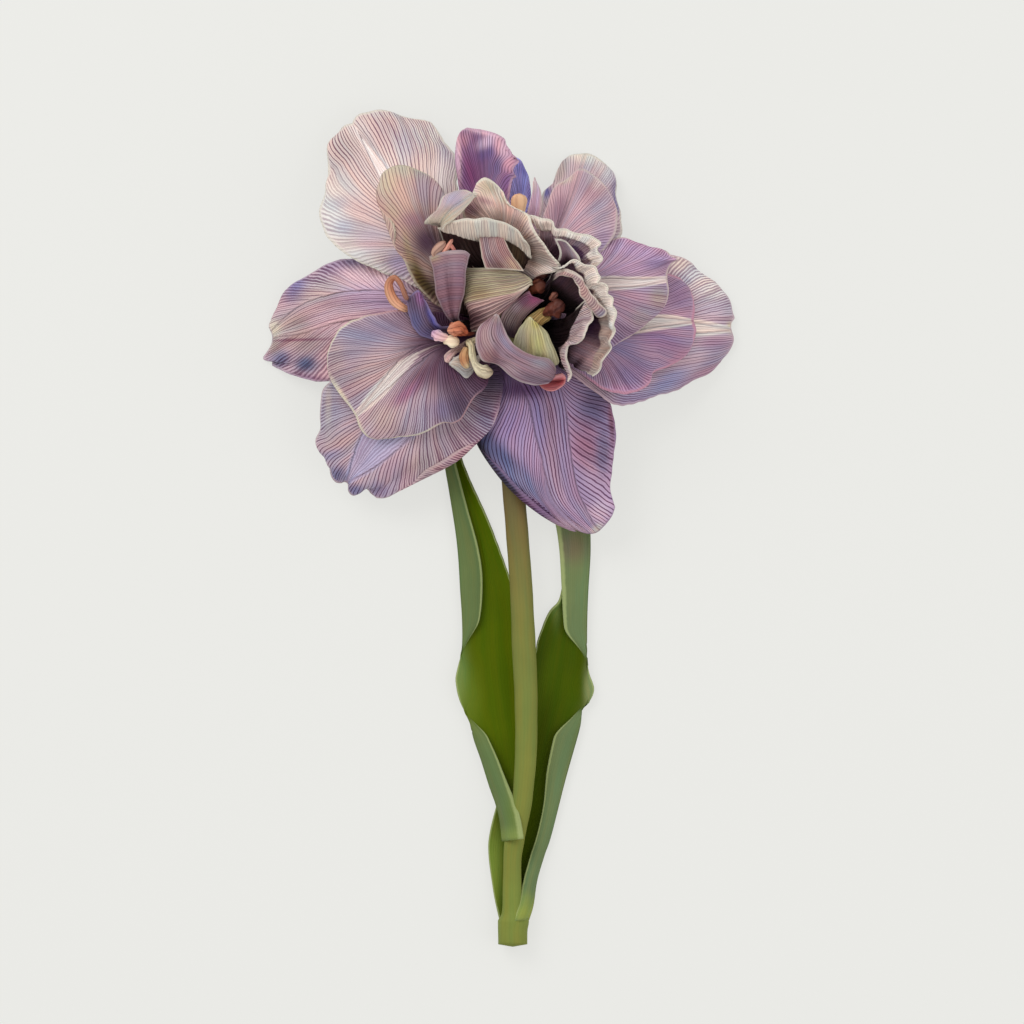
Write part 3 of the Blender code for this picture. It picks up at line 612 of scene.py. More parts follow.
outerPetals["lower_left_outer_petal"] = dict(
    mid=[(-5, -5, -0.8), (-14, -13, 3), (-24, -21.5, 3.5), (-33, -30.5, 1), (-39, -38, -4), (-42.2, -42.6, -8)],
    left=[(-3.6, -6.4), (-0.6, -13), (-0.8, -19), (-3, -26.5), (-7.5, -31.8), (-13, -36.8), (-20, -40.6), (-27, -44),
        (-31.5, -45.9), (-34.5, -46.6)],
    right=[(-6.4, -3.4), (-22, -7), (-38, -11), (-47.4, -15.5), (-49.6, -20), (-50.1, -25), (-49.8, -28.2),
        (-51.2, -31.2), (-50.6, -34), (-49.2, -36.2), (-47.2, -37.6), (-47.6, -38.9)],
    tip=[(-36.2, -46), (-37.5, -44.8), (-39.2, -45.6), (-41, -46), (-42.3, -44.9), (-42.8, -42.9), (-44.2, -43.1),
        (-45.8, -42.6), (-46.9, -41)],
    leftUp=(0, 1, 0, -1, -1.5, -1), rightUp=(0, 1, 0, -1, -2, -1), belly=(0, 1, 0.5, 0),
    folds=((-1, 0.3, 0.99, 0.9, (2.2, 2.6, 2.6, 2.2, 1.0), 0.8),), grid=(120, 128), seed=4, groove=0.3, veins=58,
    gap=0.85, ink=0.95, band=(0.1, 0.6, 2.4, 4.6, 5.2, 3.0, 0.15), corner=0.7, pole=0.94, ribs=5,
    colour="b8a2aa", rim=("bfa8a8", 0.5, 0.6), root=("46344a", 0.36), midrib=("b2acc9", 6.4, -0.2, 1.0, 0.75),
    foldColour="b8959a",
    patches=((-47, -20, 4, 6, 0, "9d9dae", 0.75, 0.2), (-47.6, -24, 1, 9, 0, "c6b6a6", 0.6, 0.3),
        (-47.5, -29, 4, 4, 0, "a29aa2", 0.75), (-43, -32, 5, 3, 15, "b49a98", 0.7),
        (-48, -35.5, 5, 1.6, 20, "787c9e", 0.7), (-45.5, -40.5, 3.4, 2.6, 20, "5c6088", 0.85, -0.4),
        (-40.5, -44.5, 3, 1.8, 0, "5c6088", 0.85, -0.4), (-34, -44.5, 3, 2.4, 0, "8078a0", 0.7),
        (-29, -39, 5, 4, 20, "a08a9e", 0.7), (-22, -37, 6, 4, 30, "aa968e", 0.6), (-14, -31, 6, 4, 30, "9a8690", 0.6),
        (-5, -24, 3.2, 6, 10, "827890", 0.8), (-1.6, -22, 1.2, 6, -12, "b890a4", 0.8)),
)
outerPetals["lower_petal"] = dict(
    mid=[(2.6, -6.4, -1.2), (7.6, -13, 0), (11.2, -20, 0.6), (13.2, -29.9, 1), (14.8, -39.3, 0), (16.8, -47, -2),
        (20.2, -51.7, -4), (24.5, -56.1, -6)],
    left=[(5, -6, -1), (17, -12, 1), (27.5, -19.5, 1), (29.4, -26, 0), (29.8, -32, -1), (29.2, -38.5, -1.5),
        (28.5, -43.5, -2), (29.2, -48.8, -4)],
    right=[(0.4, -7, -1), (-3.5, -16, 0.5), (-6.8, -25, 0.5), (-7.6, -30.5, 0), (-6.4, -34, 0), (-1.6, -41, -0.5),
        (3, -46, -2), (8.5, -50.4, -4), (13, -53.3, -4.6), (17.5, -55.3, -5.2)],
    tip=[(28.5, -51.8), (26.6, -54.5), (24.5, -56.1), (21.6, -56.2)],
    belly=(0, 1, 1.5, 0.5), folds=((1, 0.3, 1.3, 0.9, (0.8, 1.6, 2.2, 2.6, 2.6, 2.2, 1.8, 1.6, 1.6), 0.9),),
    grid=(128, 150), seed=5, sway=0.9, pleatEvery=7, groove=0.1, pattern="pinnate", veins=32, gap=1.05, ink=1.35,
    band=(4, 5, 5, 4.6, 4, 3.2, 1.4), climb=(0.3, 0.5), bow=0.85, ribs=9,
    colour="a087a4", rim=("8a6a88", 0.5, 0.5), root=("4a2f58", 0.24), foldColour="54405e",
    patches=((-5, -31, 3.4, 6, 40, "3c4468", 0.9), (-0.6, -36, 3, 9, 48, "4a5174", 0.9),
        (5, -43, 3, 7, 50, "747b9c", 0.75), (1, -26, 5, 6, 0, "8c78a2", 0.7), (12, -31, 2.6, 14, 8, "8e7484", 0.8),
        (9, -24, 2, 9, 10, "7c74a0", 0.7), (16.2, -32, 1.4, 12, 5, "8680a0", 0.6), (14, -44, 2.4, 7, 15, "b89cae", 0.6),
        (22, -51, 2, 5, 50, "9c94ac", 0.6), (24, -22, 5, 6, 0, "5e5674", 0.9), (22, -33, 4, 7, 20, "8e6478", 0.8),
        (24.6, -42, 4, 6, 20, "b898aa", 0.7), (26.4, -34, 2, 7, 0, "6c6a88", 0.8),
        (28.8, -26, 0.9, 6, 3, "7c5264", 0.95), (26, -50, 3, 3, 30, "cbb0bc", 0.8),
        (17, -54.4, 8, 1.8, -20, "c4a8b4", 0.9), (25, -55.2, 2, 1.4, 40, "d8cfbf", 0.8),
        (-6.4, -33.4, 1.4, 6, 30, "1c1826", 0.95), (0.2, -42.8, 1.5, 9, 46, "2c2438", 0.92),
        (8, -49.4, 1.8, 7, 60, "74567a", 0.9, -0.4), (4, -17.5, 9, 2.6, 0, "4a2a58", 0.8)),
)
outerPetals["right_outer_petal"] = dict(
    mid=[(6.8, -1, -0.8), (22, -2, 3), (38, -1.4, 0), (50, -0.8, -6), (60.6, -1.3, -15)],
    left=[(7, 2), (20, 13), (32, 18.5), (43, 19), (49, 17.3), (53, 15), (57, 12)],
    right=[(6.6, -4), (13, -9.6), (20, -14.8), (25, -18.6), (29.5, -21.5), (33.5, -22), (38.5, -20.7), (44, -18.2),
        (50, -15.5), (55.5, -13), (58.7, -10.2)],
    tip=[(59.8, 9), (61.7, 5.3), (62.5, 2), (61.2, 0.4), (60.8, -1.5), (61.5, -4.3), (60.6, -7.5)],
    leftUp=(0, 1, 0, -1, -1), rightUp=(0, 1, 0, -1, -1), belly=(0, 1, 1, 0), grid=(120, 120), seed=6, veins=46, gap=0.8,
    ink=0.85, band=(0.1, 0.2, 0.8, 1.5, 1.8, 1.3, 0.2), corner=0.8, straight=(0.1, 0.85), ribs=4,
    colour="bca8b2", rim=("c2a4ae", 0.5, 0.6), root=("7a6074", 0.3), midrib=("e4d9cd", 2.3, 0.4, 1.03, 0.95),
    patches=((51, 12.5, 7, 4, -38, "dcd6d4", 0.9), (56, 10.5, 5, 3, -42, "e8e0d6", 0.9),
        (47, 16.5, 3, 2, 0, "dcd2c6", 0.9), (49, 12, 2, 1.0, -40, "9c98aa", 0.6), (60.5, 5, 3, 3.4, -20, "a4a2b0", 0.6),
        (56, 4, 4, 2.4, 30, "cabac6", 0.6), (61, -0.6, 1.3, 1.6, 0, "d8c99c", 0.8), (57, -5, 5, 2, 0, "96728e", 0.75),
        (56, -9.5, 5, 2.4, 45, "88809a", 0.7), (52, -14, 8, 1.8, 26, "a5798c", 0.75),
        (44, -15, 7, 2.4, 28, "8c8eb4", 0.85), (34, -20, 7, 2, 10, "a08cae", 0.7),
        (26, -18.4, 6, 1.4, -38, "a5929c", 0.8)),
)
outerPetals["upper_right_outer_petal"] = dict(
    mid=[(4.3, 5.4, -0.8), (9, 16, 0.8), (14, 27, -1), (18.5, 37, -7), (21.8, 46.4, -16)],
    left=[(3, 6.6), (5.4, 17), (8.6, 27), (10.2, 35), (12.9, 37.6), (14.2, 41.2), (15.6, 43.6)],
    right=[(6, 5), (16, 12), (26, 18.5), (31.3, 24), (31.5, 28), (31, 32), (30.3, 36), (30, 39), (29, 41.6)],
    tip=[(17.5, 45.5), (20, 46.4), (22.4, 46.8), (25, 45.8), (27.3, 43.9)],
    leftUp=(0, 1, 1, 1, 0), rightUp=(0, 1, 0, -1, -1), belly=(0, 1, 0.5, 0), seed=7, veins=40, ink=0.6, ribs=2,
    colour="beacb0", rim=("dcd4c6", 0.8, 0.8), root=("7a6074", 0.3),
    patches=((21.5, 45.6, 9, 2, -10, "ddd8ca", 0.9), (27.5, 42, 2.6, 4.5, 35, "d6d0cc", 0.85),
        (30.4, 35, 1.8, 5, 5, "6c6c9c", 0.9), (15.5, 42, 1.4, 4, -20, "a09a92", 0.7),
        (11.2, 35.8, 1.6, 1.6, 0, "6664a0", 0.95)),
)
outerPetals["upper_left_petal"] = dict(
    mid=[(-4.2, 5.4, -0.6), (-13, 13, 3.5), (-22, 23.5, 5), (-28.5, 34, 3.5), (-34.5, 44.2, -2), (-40.3, 53, -10)],
    left=[(-6, 3.6), (-17, 7.5), (-28, 12.5), (-35.5, 15.7), (-41, 18.3), (-45.2, 21), (-48.2, 24.8), (-49.4, 29),
        (-49.3, 33.5), (-48.3, 37.4), (-47.5, 40.4), (-48.3, 44.2), (-47.8, 48), (-46.2, 51.3)],
    right=[(-3, 7), (-6, 17), (-9.6, 27), (-12.8, 37), (-13.2, 45), (-15.6, 49.8), (-17.6, 52.8), (-19.8, 54.8)],
    tip=[(-44.6, 53.2), (-42.6, 53.9), (-40.9, 53.7), (-40.2, 53), (-40.2, 54.6), (-39.2, 56.4), (-37, 57.3),
        (-34, 58.2), (-31, 58), (-28.5, 57), (-26, 56.3), (-22.6, 55.4)],
    leftUp=(0, 0, -1, -2, -3, -3), rightUp=(0, 1, 1, 0, -2, -3), belly=(0, 1.5, 1.5, 0.5), tipFrom=0.25,
    grid=(120, 128), seed=8, veins=50, gap=0.95, ink=0.88, band=(0.1, 1.2, 2.2, 2.5, 2.0, 1.3, 0.4), corner=0.75,
    straight=(0.1, 0.7),
    colour="d4c2b9", rim=("d9d2c6", 0.7, 0.8), root=("7a5c6c", 0.25), midrib=("eee6df", 2.5, 0.0, 1.02, 1.0),
    patches=((-45.5, 33, 5.5, 8, 0, "d8d6ce", 0.85, 0.5), (-44, 33, 3, 2, 0, "a9adb6", 0.7),
        (-43, 26.5, 3, 2.2, 0, "aeb0bc", 0.7, 0.3), (-40, 44, 5, 6, 30, "d0b6b0", 0.7),
        (-43.5, 47.5, 4, 5, 0, "b8a8a2", 0.8, -0.3), (-38, 31, 6, 5, 0, "d6bcb8", 0.7, 0.2),
        (-36, 23, 6, 4, 20, "d2bcc4", 0.75, 0.5), (-28.5, 16.5, 3.5, 4, 30, "bbaac8", 0.85, 0.5),
        (-42, 20.5, 7, 2.6, -30, "d4d0c8", 0.8, 0.5), (-36, 15.5, 6, 2.4, -20, "d2cec8", 0.8, 0.6),
        (-33, 51, 5, 5, 0, "bea8a6", 0.75, -0.3), (-26, 49, 3, 5, 10, "b3b0b8", 0.75),
        (-20, 51, 4, 3, -30, "dcd9d0", 0.85), (-16, 46, 2.2, 4, 20, "bcb6c0", 0.75),
        (-17, 41, 4, 5, 20, "efdcd2", 0.85, 0.3), (-31, 57, 8, 1.2, 0, "c9c6c0", 0.7),
        (-36.6, 46.6, 8, 1.0, 122, "efe7df", 0.9, 0.8)),
)
outerPetals["lower_left_petal"] = dict(
    mid=[(-5.5, -2.8, 1.6), (-12, -4.2, 7), (-20, -6, 10.5), (-27, -10.6, 11), (-33.6, -17.6, 9), (-40, -24.3, 5)],
    left=[(-4.6, -4.8), (-3.6, -9.5), (-4.6, -14.5), (-5.6, -16.8), (-8.4, -19.6), (-9.8, -22), (-11, -24.8),
        (-13.6, -27), (-17, -27), (-21, -28.8), (-26, -30.7), (-31, -31.4), (-34.5, -31.1)],
    right=[(-6.6, 0.2), (-16, 3.2), (-26, 4.2), (-36, 2.7), (-42, 0.9), (-45.2, -1.8), (-47, -6), (-47.6, -10),
        (-47.4, -13.5)],
    tip=[(-37.2, -29.8), (-39, -27.5), (-40, -24.7), (-41.6, -21.8), (-44, -18.6), (-46.2, -15.8)],
    leftUp=(0, 1, 0, -1, -2), rightUp=(0, 2, 1, 0, -1), belly=(0, 1.5, 2, 1, 0), grid=(112, 112), seed=9, pleatEvery=6,
    veins=52, gap=0.75, ink=0.95, band=(0.1, 0.2, 1.2, 2.0, 1.7, 1.0, 0.15), corner=0.85, pole=0.94,
    colour="b39ea6", rim=("d6ccb8", 0.55, 0.9), rimBase=("b58c92", 0.5, 0.72), root=("54344a", 0.55),
    midrib=("ddd3c9", 2.0, 0.45, 1.02, 1.0),
    patches=((-40, -5, 6, 6, 0, "9c98a8", 0.8, 0.2), (-33, -1, 8, 3.4, 10, "9088a0", 0.8, 0.3),
        (-45.5, -9, 2.4, 6, 10, "b0a2a0", 0.7), (-37, -12, 7, 3.4, 40, "b59a94", 0.7),
        (-31, -11, 7, 2.2, 42, "b09490", 0.7), (-22, -13.6, 8, 3, 40, "5c3046", 0.85),
        (-27, -19, 6, 1.6, 42, "94607f", 0.75), (-32, -25, 5, 4, 0, "bcaaa2", 0.7), (-24, -26, 5, 4, 10, "aca2b0", 0.7),
        (-17, -23, 4, 4, 0, "7c7090", 0.8), (-12, -21, 3, 5, 10, "4a425e", 0.85), (-15, -13, 7, 5, 40, "54344a", 0.9),
        (-21, -4, 6, 3, 20, "6f5064", 0.7), (-36, -20.4, 7, 0.5, 40, "6d4468", 0.7),
        (-43, -20.4, 8.4, 0.75, -59, "d8cdb2", 0.9, 0.8)),
)
outerPetals["right_middle_petal"] = dict(
    mid=[(5.6, -2.7, 1.2), (17, -3.6, 4.6), (29, -1.6, 6), (40, 0.6, 2.5), (50.6, 0.8, -4)],
    left=[(6, -0.4), (16, 8), (28, 13.4), (38, 15.2), (44, 13.6), (47, 12.6), (49, 10.4)],
    right=[(6, -5), (14, -9), (20, -13), (25, -16.4), (29, -18.2), (33, -18.8), (36.6, -17.8), (39.3, -15.6),
        (40.3, -12.9), (44, -11.3), (47.6, -8.9), (50, -5.8)],
    tip=[(50.6, 7.6), (51.3, 4.4), (50.8, 1.4), (51.5, -1.2), (51.2, -3.6)],
    leftUp=(0, 2, 2, 1, -1), rightUp=(0, 1, 0, 0, -1), belly=(0, 1.5, 1.5, 0), grid=(120, 112), seed=10, pleatEvery=5,
    veins=56, gap=0.6, ink=0.8, band=(0.1, 0.2, 0.8, 1.4, 1.4, 1.1, 0.2), corner=0.85,
    colour="a68ba2", rim=("c98fa4", 0.9, 0.9), root=("4a3448", 0.32), midrib=("e0d6cb", 2.1, 0.4, 1.03, 0.95),
    patches=((46.5, 8, 3.5, 4, 0, "8d7698", 0.7), (46, 3, 4, 1.6, 10, "b792a4", 0.7),
        (42, -4, 7, 2.6, -20, "8e6d90", 0.8), (32, -6, 5, 3, 0, "8a80a4", 0.75), (34, -13, 5, 4, 0, "8c7aa0", 0.8),
        (46, -9.6, 4, 1.4, 35, "b07f96", 0.8), (33, -17.4, 7, 1.4, 0, "b98fae", 0.8),
        (38.5, -15, 1.2, 3, -20, "b38aa4", 0.7)),
)
outerPetals["right_inner_petal"] = dict(
    mid=[(6, 1.8, 1.4), (16, 7.6, 9), (26, 11, 11.5), (35, 11.4, 9.5), (44, 12.4, 5)],
    left=[(6, 4, 1.6), (13, 13, 8), (22, 20, 10), (30, 23.6, 9), (36, 22.7, 8), (41, 21.6, 6)],
    right=[(6.4, 0, 1.6), (13, -3, 6), (21, -7.5, 8), (26.5, -8.4, 7.5), (31, -5.8, 7), (35, -3, 6.5), (38.6, -0.2, 6),
        (41, 2.8, 5)],
    tip=[(43.6, 21), (45.4, 19.4), (47.2, 17.7), (45.6, 16), (44.4, 14.2), (43.9, 12), (43.8, 9.4), (43, 6.4)],
    belly=(0, 1.5, 1.5, 0), grid=(120, 112), seed=11, veins=44, ink=0.8, band=(0.1, 1.2, 1.7, 1.6, 1.3, 0.9, 0.3),
    colour="ae94a8", rim=("cdb8b4", 0.6, 0.9), root=("4a3448", 0.35), midrib=("e4d8cf", 2.1, -0.3, 1.1, 1.0),
    patches=((36, 20, 7, 2.4, -10, "b9a2c4", 0.85), (44, 19.4, 4, 2, -30, "c79fb6", 0.8),
        (34, 23, 5, 1.2, -14, "c59cb6", 0.8), (33, 15.5, 6, 1.8, 5, "bb9cba", 0.7), (41, 17, 4, 2, 10, "9689b4", 0.7),
        (33, 7, 5, 3, -20, "b08c9c", 0.7), (41.5, 7.5, 2.6, 3, 0, "a89e92", 0.8), (37, 2, 3.4, 3, 30, "a59c9c", 0.7),
        (31, -2, 4, 3, 0, "857690", 0.7)),
)
outerPetals["upper_right_inner_petal"] = dict(
    mid=[(3.5, 5.3, 1.6), (9, 15, 10), (14, 25, 14.2), (18, 34, 13), (20.8, 41.8, 9)],
    left=[(2.5, 6.4, 1.6), (6, 17, 9), (9.6, 27, 13), (11.6, 32.5, 14), (13.2, 36.8, 13.5), (15, 38.5, 12.5)],
    right=[(5.5, 4.2, 1.6), (16, 10.4, 9), (24, 16.6, 11), (28.6, 22.6, 11), (30.4, 27.2, 10), (30.2, 31, 9.5),
        (28.8, 34.8, 9)],
    tip=[(17, 39.6), (18.6, 40.6), (20.2, 41.9), (21.8, 42), (24.2, 40.6), (26.6, 38.2)],
    belly=(0, 1, 1, 0), folds=((-1, 0.62, 1.0, 0.9, 1.8, 1.2),), seed=12, veins=40, ink=0.6, corner=0.8, ribWide=1.4,
    colour="c2a6ac", rim=("cbbab6", 0.8, 0.8), root=("5a4050", 0.32),
    patches=((16.5, 39.3, 2.4, 1.2, 20, "d4c8b8", 0.95), (14.5, 31, 2.4, 5, -15, "84667a", 0.8),
        (22, 36, 5, 4, -40, "a88894", 0.6), (26, 29, 3.4, 5, 10, "aaa0ae", 0.8), (27, 22, 3, 4, 20, "a092b0", 0.8),
        (25, 38.5, 3, 2, -40, "c4b8b6", 0.8), (19, 28, 3, 5, -20, "b898a4", 0.7)),
)
outerPetals["top_petal"] = dict(
    mid=[(-1.6, 6.2, 1.2), (-3, 18, 9), (-4.4, 30, 11), (-5.4, 42, 8.5), (-6.4, 53, 3)],
    left=[(-3, 5.6, 1.2), (-7, 16, 8), (-10.6, 27, 10.5), (-12.2, 37, 10), (-13.2, 44, 8.5), (-12.8, 49, 7),
        (-11.9, 52.2, 5)],
    right=[(0, 6.6, 1.2), (1, 17, 8), (1.2, 28, 10.5), (1.2, 34, 10.4), (1.3, 37, 10), (1.9, 39.3, 9.4), (3.2, 40.1, 9),
        (2.3, 41.3, 8.6), (2.5, 42.6, 8.2), (3.9, 44.5, 7.6), (2.6, 45.6, 7), (2, 46.9, 6.4), (1.2, 48.2, 5.6),
        (1, 49.6, 4.6)],
    tip=[(-10.8, 53.4), (-9.6, 53.8), (-7, 53.3), (-4.6, 52.4), (-1.6, 51.6), (0.2, 50.8)],
    belly=(0, 0.5, 0.5, 0), folds=((-1, 0.55, 1.05, 0.86, 1.6, 1.2),), seed=13, pleatEvery=5, veins=42, gap=0.85,
    ink=0.95, corner=0.8, turn=30, ribs=2,
    colour="876a8a", rim=("c79fb4", 0.8, 0.8), root=("3c2238", 0.3),
    patches=((-7.5, 44, 4, 9, 0, "71486f", 0.85), (-9.6, 40, 2, 6, 10, "70305f", 0.8),
        (-5, 46.4, 3.2, 2.2, 35, "5f5080", 0.8), (-3, 42.6, 3, 2.2, 20, "705a80", 0.8),
        (-5, 49.4, 3, 1.6, 30, "c6b2c6", 0.8), (-0.4, 47.6, 2, 3.6, 30, "d6a9b2", 0.9, 0.5),
        (-5, 52.4, 7, 1.3, -12, "dcb8c2", 0.95, 0.7), (1.2, 43.6, 1.8, 2.8, 0, "c898a8", 0.85, 0.3),
        (0.4, 38.4, 1.4, 3, 0, "7c4f7e", 0.8), (-10.6, 50.4, 1.3, 2.4, 0, "b4808c", 0.7),
        (-12.5, 46.4, 0.8, 8, 3, "cda3ac", 0.95, 0.9)),
)
outerPetals["top_blue_petal"] = dict(
    mid=[(0, 6.9, -1.2), (2.4, 18, 3.6), (4, 28, 4), (4.4, 37, 1.5), (3.2, 45.4, -3)],
    left=[(-1, 7), (-0.8, 18), (0, 28), (0.6, 37), (0.6, 44)],
    right=[(1.4, 7), (5, 18), (6.2, 28), (6.6, 33), (6.7, 36.2), (5.4, 39.6)],
    tip=[(2.2, 45), (3.4, 44.4), (4.4, 42)], ends=((1, 44), (5.4, 39.6)),
    seed=14, rimFall=0.1, veins=26, ink=0.7, corner=0.6, ribs=1,
    colour="b6b2f4", rim=("6a66a4", 0.3, 0.0), root=("3c3658", 0.3),
    patches=((5, 42, 1.6, 2.6, 30, "6c64b0", 0.8), (6.8, 35, 1.0, 3.4, 10, "6a62b4", 0.8),
        (4.6, 38, 1.6, 3, 20, "a29ce4", 0.6)),
)
outerPetals["top_pink_petal"] = dict(
    mid=[(1.5, 6.5, 0.8), (5, 18, 7.5), (7.4, 28, 9), (8, 34, 8.5), (8.2, 39.8, 7)],
    left=[(0.8, 6.8), (3.2, 18), (5.2, 27), (6.4, 32.4), (7.8, 38)],
    right=[(2.2, 6.2), (6.8, 18), (9.4, 28), (10.1, 34.6), (8.8, 38.4)],
    tip=[(8, 40)],
    grid=(24, 48), seed=15, ruffle=0.2, sway=0.2, veins=20, ink=0.6, pole=0.93, ribs=1,
    colour="d2b0c4", rim=("dcc4c4", 0.7, 0.8),
    patches=((7.6, 38, 1.2, 2.4, 0, "d8c8c4", 0.9),),
)
addSheets(outerPetals, {}, 0.4, "_veined")
print("outer petals made:", len(outerPetals))


innerPetals = {}
innerPetals["upper_left_inner_petal"] = dict(
    mid=[(-4.2, 3.7, 3.2), (-13, 13, 10), (-19.5, 22, 15), (-24, 32, 18), (-27, 42.4, 14.5)],
    left=[(-5.2, 2.4, 3.2), (-12, 3.2, 7), (-18.6, 5.4, 11), (-22.2, 9.2, 13.5), (-24.9, 13.2, 15), (-26.6, 17, 16),
        (-29.4, 20.6, 16.5), (-31.1, 25, 17), (-32.8, 29.5, 17), (-34.5, 34, 16.5), (-34.8, 36.8, 16),
        (-34.1, 39.8, 14.8)],
    right=[(-3.4, 5, 3.2), (-9, 16, 10), (-12, 25, 15), (-14.5, 31, 17), (-15.8, 34.4, 17), (-16.8, 37.2, 16)],
    tip=[(-33, 41.2), (-31, 42.4), (-28.5, 43), (-25.5, 42.6), (-22, 41.3), (-19, 39.4)],
    belly=(0, -2, -1.5, 0), folds=((-1, 0.5, 0.98, 0.84, (2, 3.2, 2.6, 1.6), 1.2),), grid=(72, 90), seed=16, ruffle=0.4,
    ruffleWide=3.0, sway=0.7, pattern="fan", veins=32, gap=0.9, ink=0.72, bow=0.9, ribs=1,
    colour="b59a8f", rim=("b9ad98", 0.4, 0.7), root=("3a2a24", 0.3), foldColour="b3a094",
    patches=((-28, 42, 9, 2.4, -5, "b4b29e", 0.95), (-31.5, 38, 2.6, 3.4, 0, "c6bda0", 0.9),
        (-30, 31, 2, 3, 20, "a39a80", 0.6), (-27, 35, 4, 6, 0, "c0a496", 0.7), (-21, 36, 4, 5, 20, "aa929c", 0.8),
        (-17.5, 34.5, 2.6, 3.4, 0, "a29aa0", 0.7), (-24, 28.4, 4, 2.4, 0, "a07c88", 0.8),
        (-21, 22.6, 4.0, 5, 25, "55394f", 0.95), (-16, 13, 4, 5, 0, "2e2018", 0.9),
        (-23.4, 13, 1.9, 6.5, 25, "6e5c30", 1.0), (-20.6, 10, 1.6, 5, 40, "4a3c20", 0.9),
        (-26.2, 20.4, 1.0, 5, 12, "a89478", 0.9)),
)
innerPetals["upper_left_curled_petal"] = dict(
    mid=[(-2.3, 5, 3.2), (-6, 13.6, 6.6), (-12, 21.6, 11.4), (-17, 26.4, 18.6), (-17.8, 27.2, 25.5),
        (-14.6, 31.6, 27.6), (-9, 35.2, 26)],
    left=[(-2.9, 5.2, 3.2), (-8, 14.6, 6.6), (-15, 24, 12), (-20, 27, 18.6), (-21.8, 27.6, 24), (-19.8, 29.8, 26),
        (-18.2, 31.2, 26.4), (-16.8, 34.6, 26.2), (-13.6, 36.3, 25.6)],
    right=[(-1.7, 4.8, 3.2), (-5, 12.6, 6.6), (-10, 20.4, 11), (-15, 24.8, 18.6), (-17.4, 25.6, 25.4), (-14, 28.4, 27),
        (-10.8, 31.4, 27), (-7.9, 34.6, 26.2)],
    tip=[(-11, 36.5), (-9, 35.7)],
    grid=(40, 72), seed=17, sway=0.2, pleat=0.04, pattern="fan", veins=44, ink=0.6, pole=0.9, ribs=0,
    colour="b8a6a2", rim=("d6cfbe", 0.5, 0.6), root=("4a3440", 0.5),
    patches=((-13, 34, 4, 2, 10, "a8a2b8", 0.8), (-15.5, 28.5, 3.4, 2.2, 35, "c8bea4", 0.95),
        (-20, 28, 2.4, 1.6, 0, "beb9a6", 0.9), (-9.5, 34, 2, 1.6, 0, "ccc4b4", 0.8),
        (-11, 31.6, 3.4, 1.4, 40, "c9beaa", 0.7)),
)
# root and shade band are near-black painted shade of the cavity's inner wall
innerPetals["left_inner_petal"] = dict(
    mid=[(-6, 1.6, 3.6), (-10, 0.4, 8), (-13.6, 1.4, 13.4), (-15, 10, 19), (-15.2, 19.8, 21)],
    left=[(-6.6, 1, 3.6), (-10.6, -0.4, 8), (-14.8, 1.2, 12.6), (-17.6, 6, 15.4), (-19.6, 13, 18.4),
        (-20.8, 18.2, 19.4)],
    right=[(-5.4, 2.2, 4), (-9.4, 1.2, 8.6), (-12.2, 1.8, 14), (-10.9, 8, 18), (-10.2, 14.6, 20.4), (-9.2, 19, 21.2)],
    tip=[(-18.4, 19.3), (-14.6, 20.1), (-11, 20.1)], ends=((-20.6, 18.4), (-9.3, 19)),
    belly=(0, 0.6, 1.2, 0.4), seed=18, pleat=0.05, pattern="across", veins=44, gap=0.6, ink=0.75,
    colour="8f7078", rim=("b09aa0", 0.5, 0.6), root=("1c1014", 0.4), bands=((0.46, 0.36, "1c1014", 1.0),),
    patches=((-19.4, 18.4, 2.2, 1.4, 0, "a8967c", 0.95), (-13, 17, 4, 3, 0, "a08a92", 0.7),
        (-15, 8, 3, 5, 0, "80606c", 0.7), (-12, 12, 1.6, 6, 0, "8c6a7a", 0.6), (-14.6, 19.8, 4, 0.6, 0, "b9a6a0", 0.8)),
)
innerPetals["centre_petal"] = dict(
    mid=[(-3.9, 2.6, 4.6), (-8.6, 4.4, 10), (-10.7, 6.3, 15), (-4.4, 7.7, 18), (2.4, 9, 18.4), (7.3, 11.4, 17.2)],
    left=[(-4.6, 3.4, 4.6), (-9.4, 8, 10), (-11.4, 14.4, 14), (-6, 15.4, 15.6), (1, 15.1, 16.2), (5.4, 13.8, 16.4)],
    right=[(-3.2, 2, 4.6), (-6.4, -0.6, 8), (-8.8, -2, 9.4), (-4.6, -0.4, 11.4), (-0.4, 3, 12.6), (3.8, 7.2, 14.6),
        (6.6, 9.9, 16)],
    tip=[(6.9, 12.8), (7.5, 11.5)],
    belly=(0, 0, 0.5, 0.6, 0.2), seed=19, ruffle=0.25, pleatEvery=1, groove=0, veins=15, ink=0.75,
    colour="c2b694", rim=("cfc7ac", 0.6, 0.8), root=("2a1a18", 0.42), side=("c2a49c", 0.02, 0.1, 1.0),
    patches=((-7.5, 9.6, 4, 3, 0, "94805a", 0.8), (-7, 13, 4, 2, 0, "a89a7c", 0.7), (4, 12.8, 4, 2, 0, "d0caac", 0.9),
        (5.5, 10.2, 2.6, 0.8, 20, "d6ccb8", 0.8), (-8, 1.6, 3.6, 3, 0, "5c3e44", 0.9),
        (1, 5, 3, 1.6, 40, "a4868a", 0.6)),
)
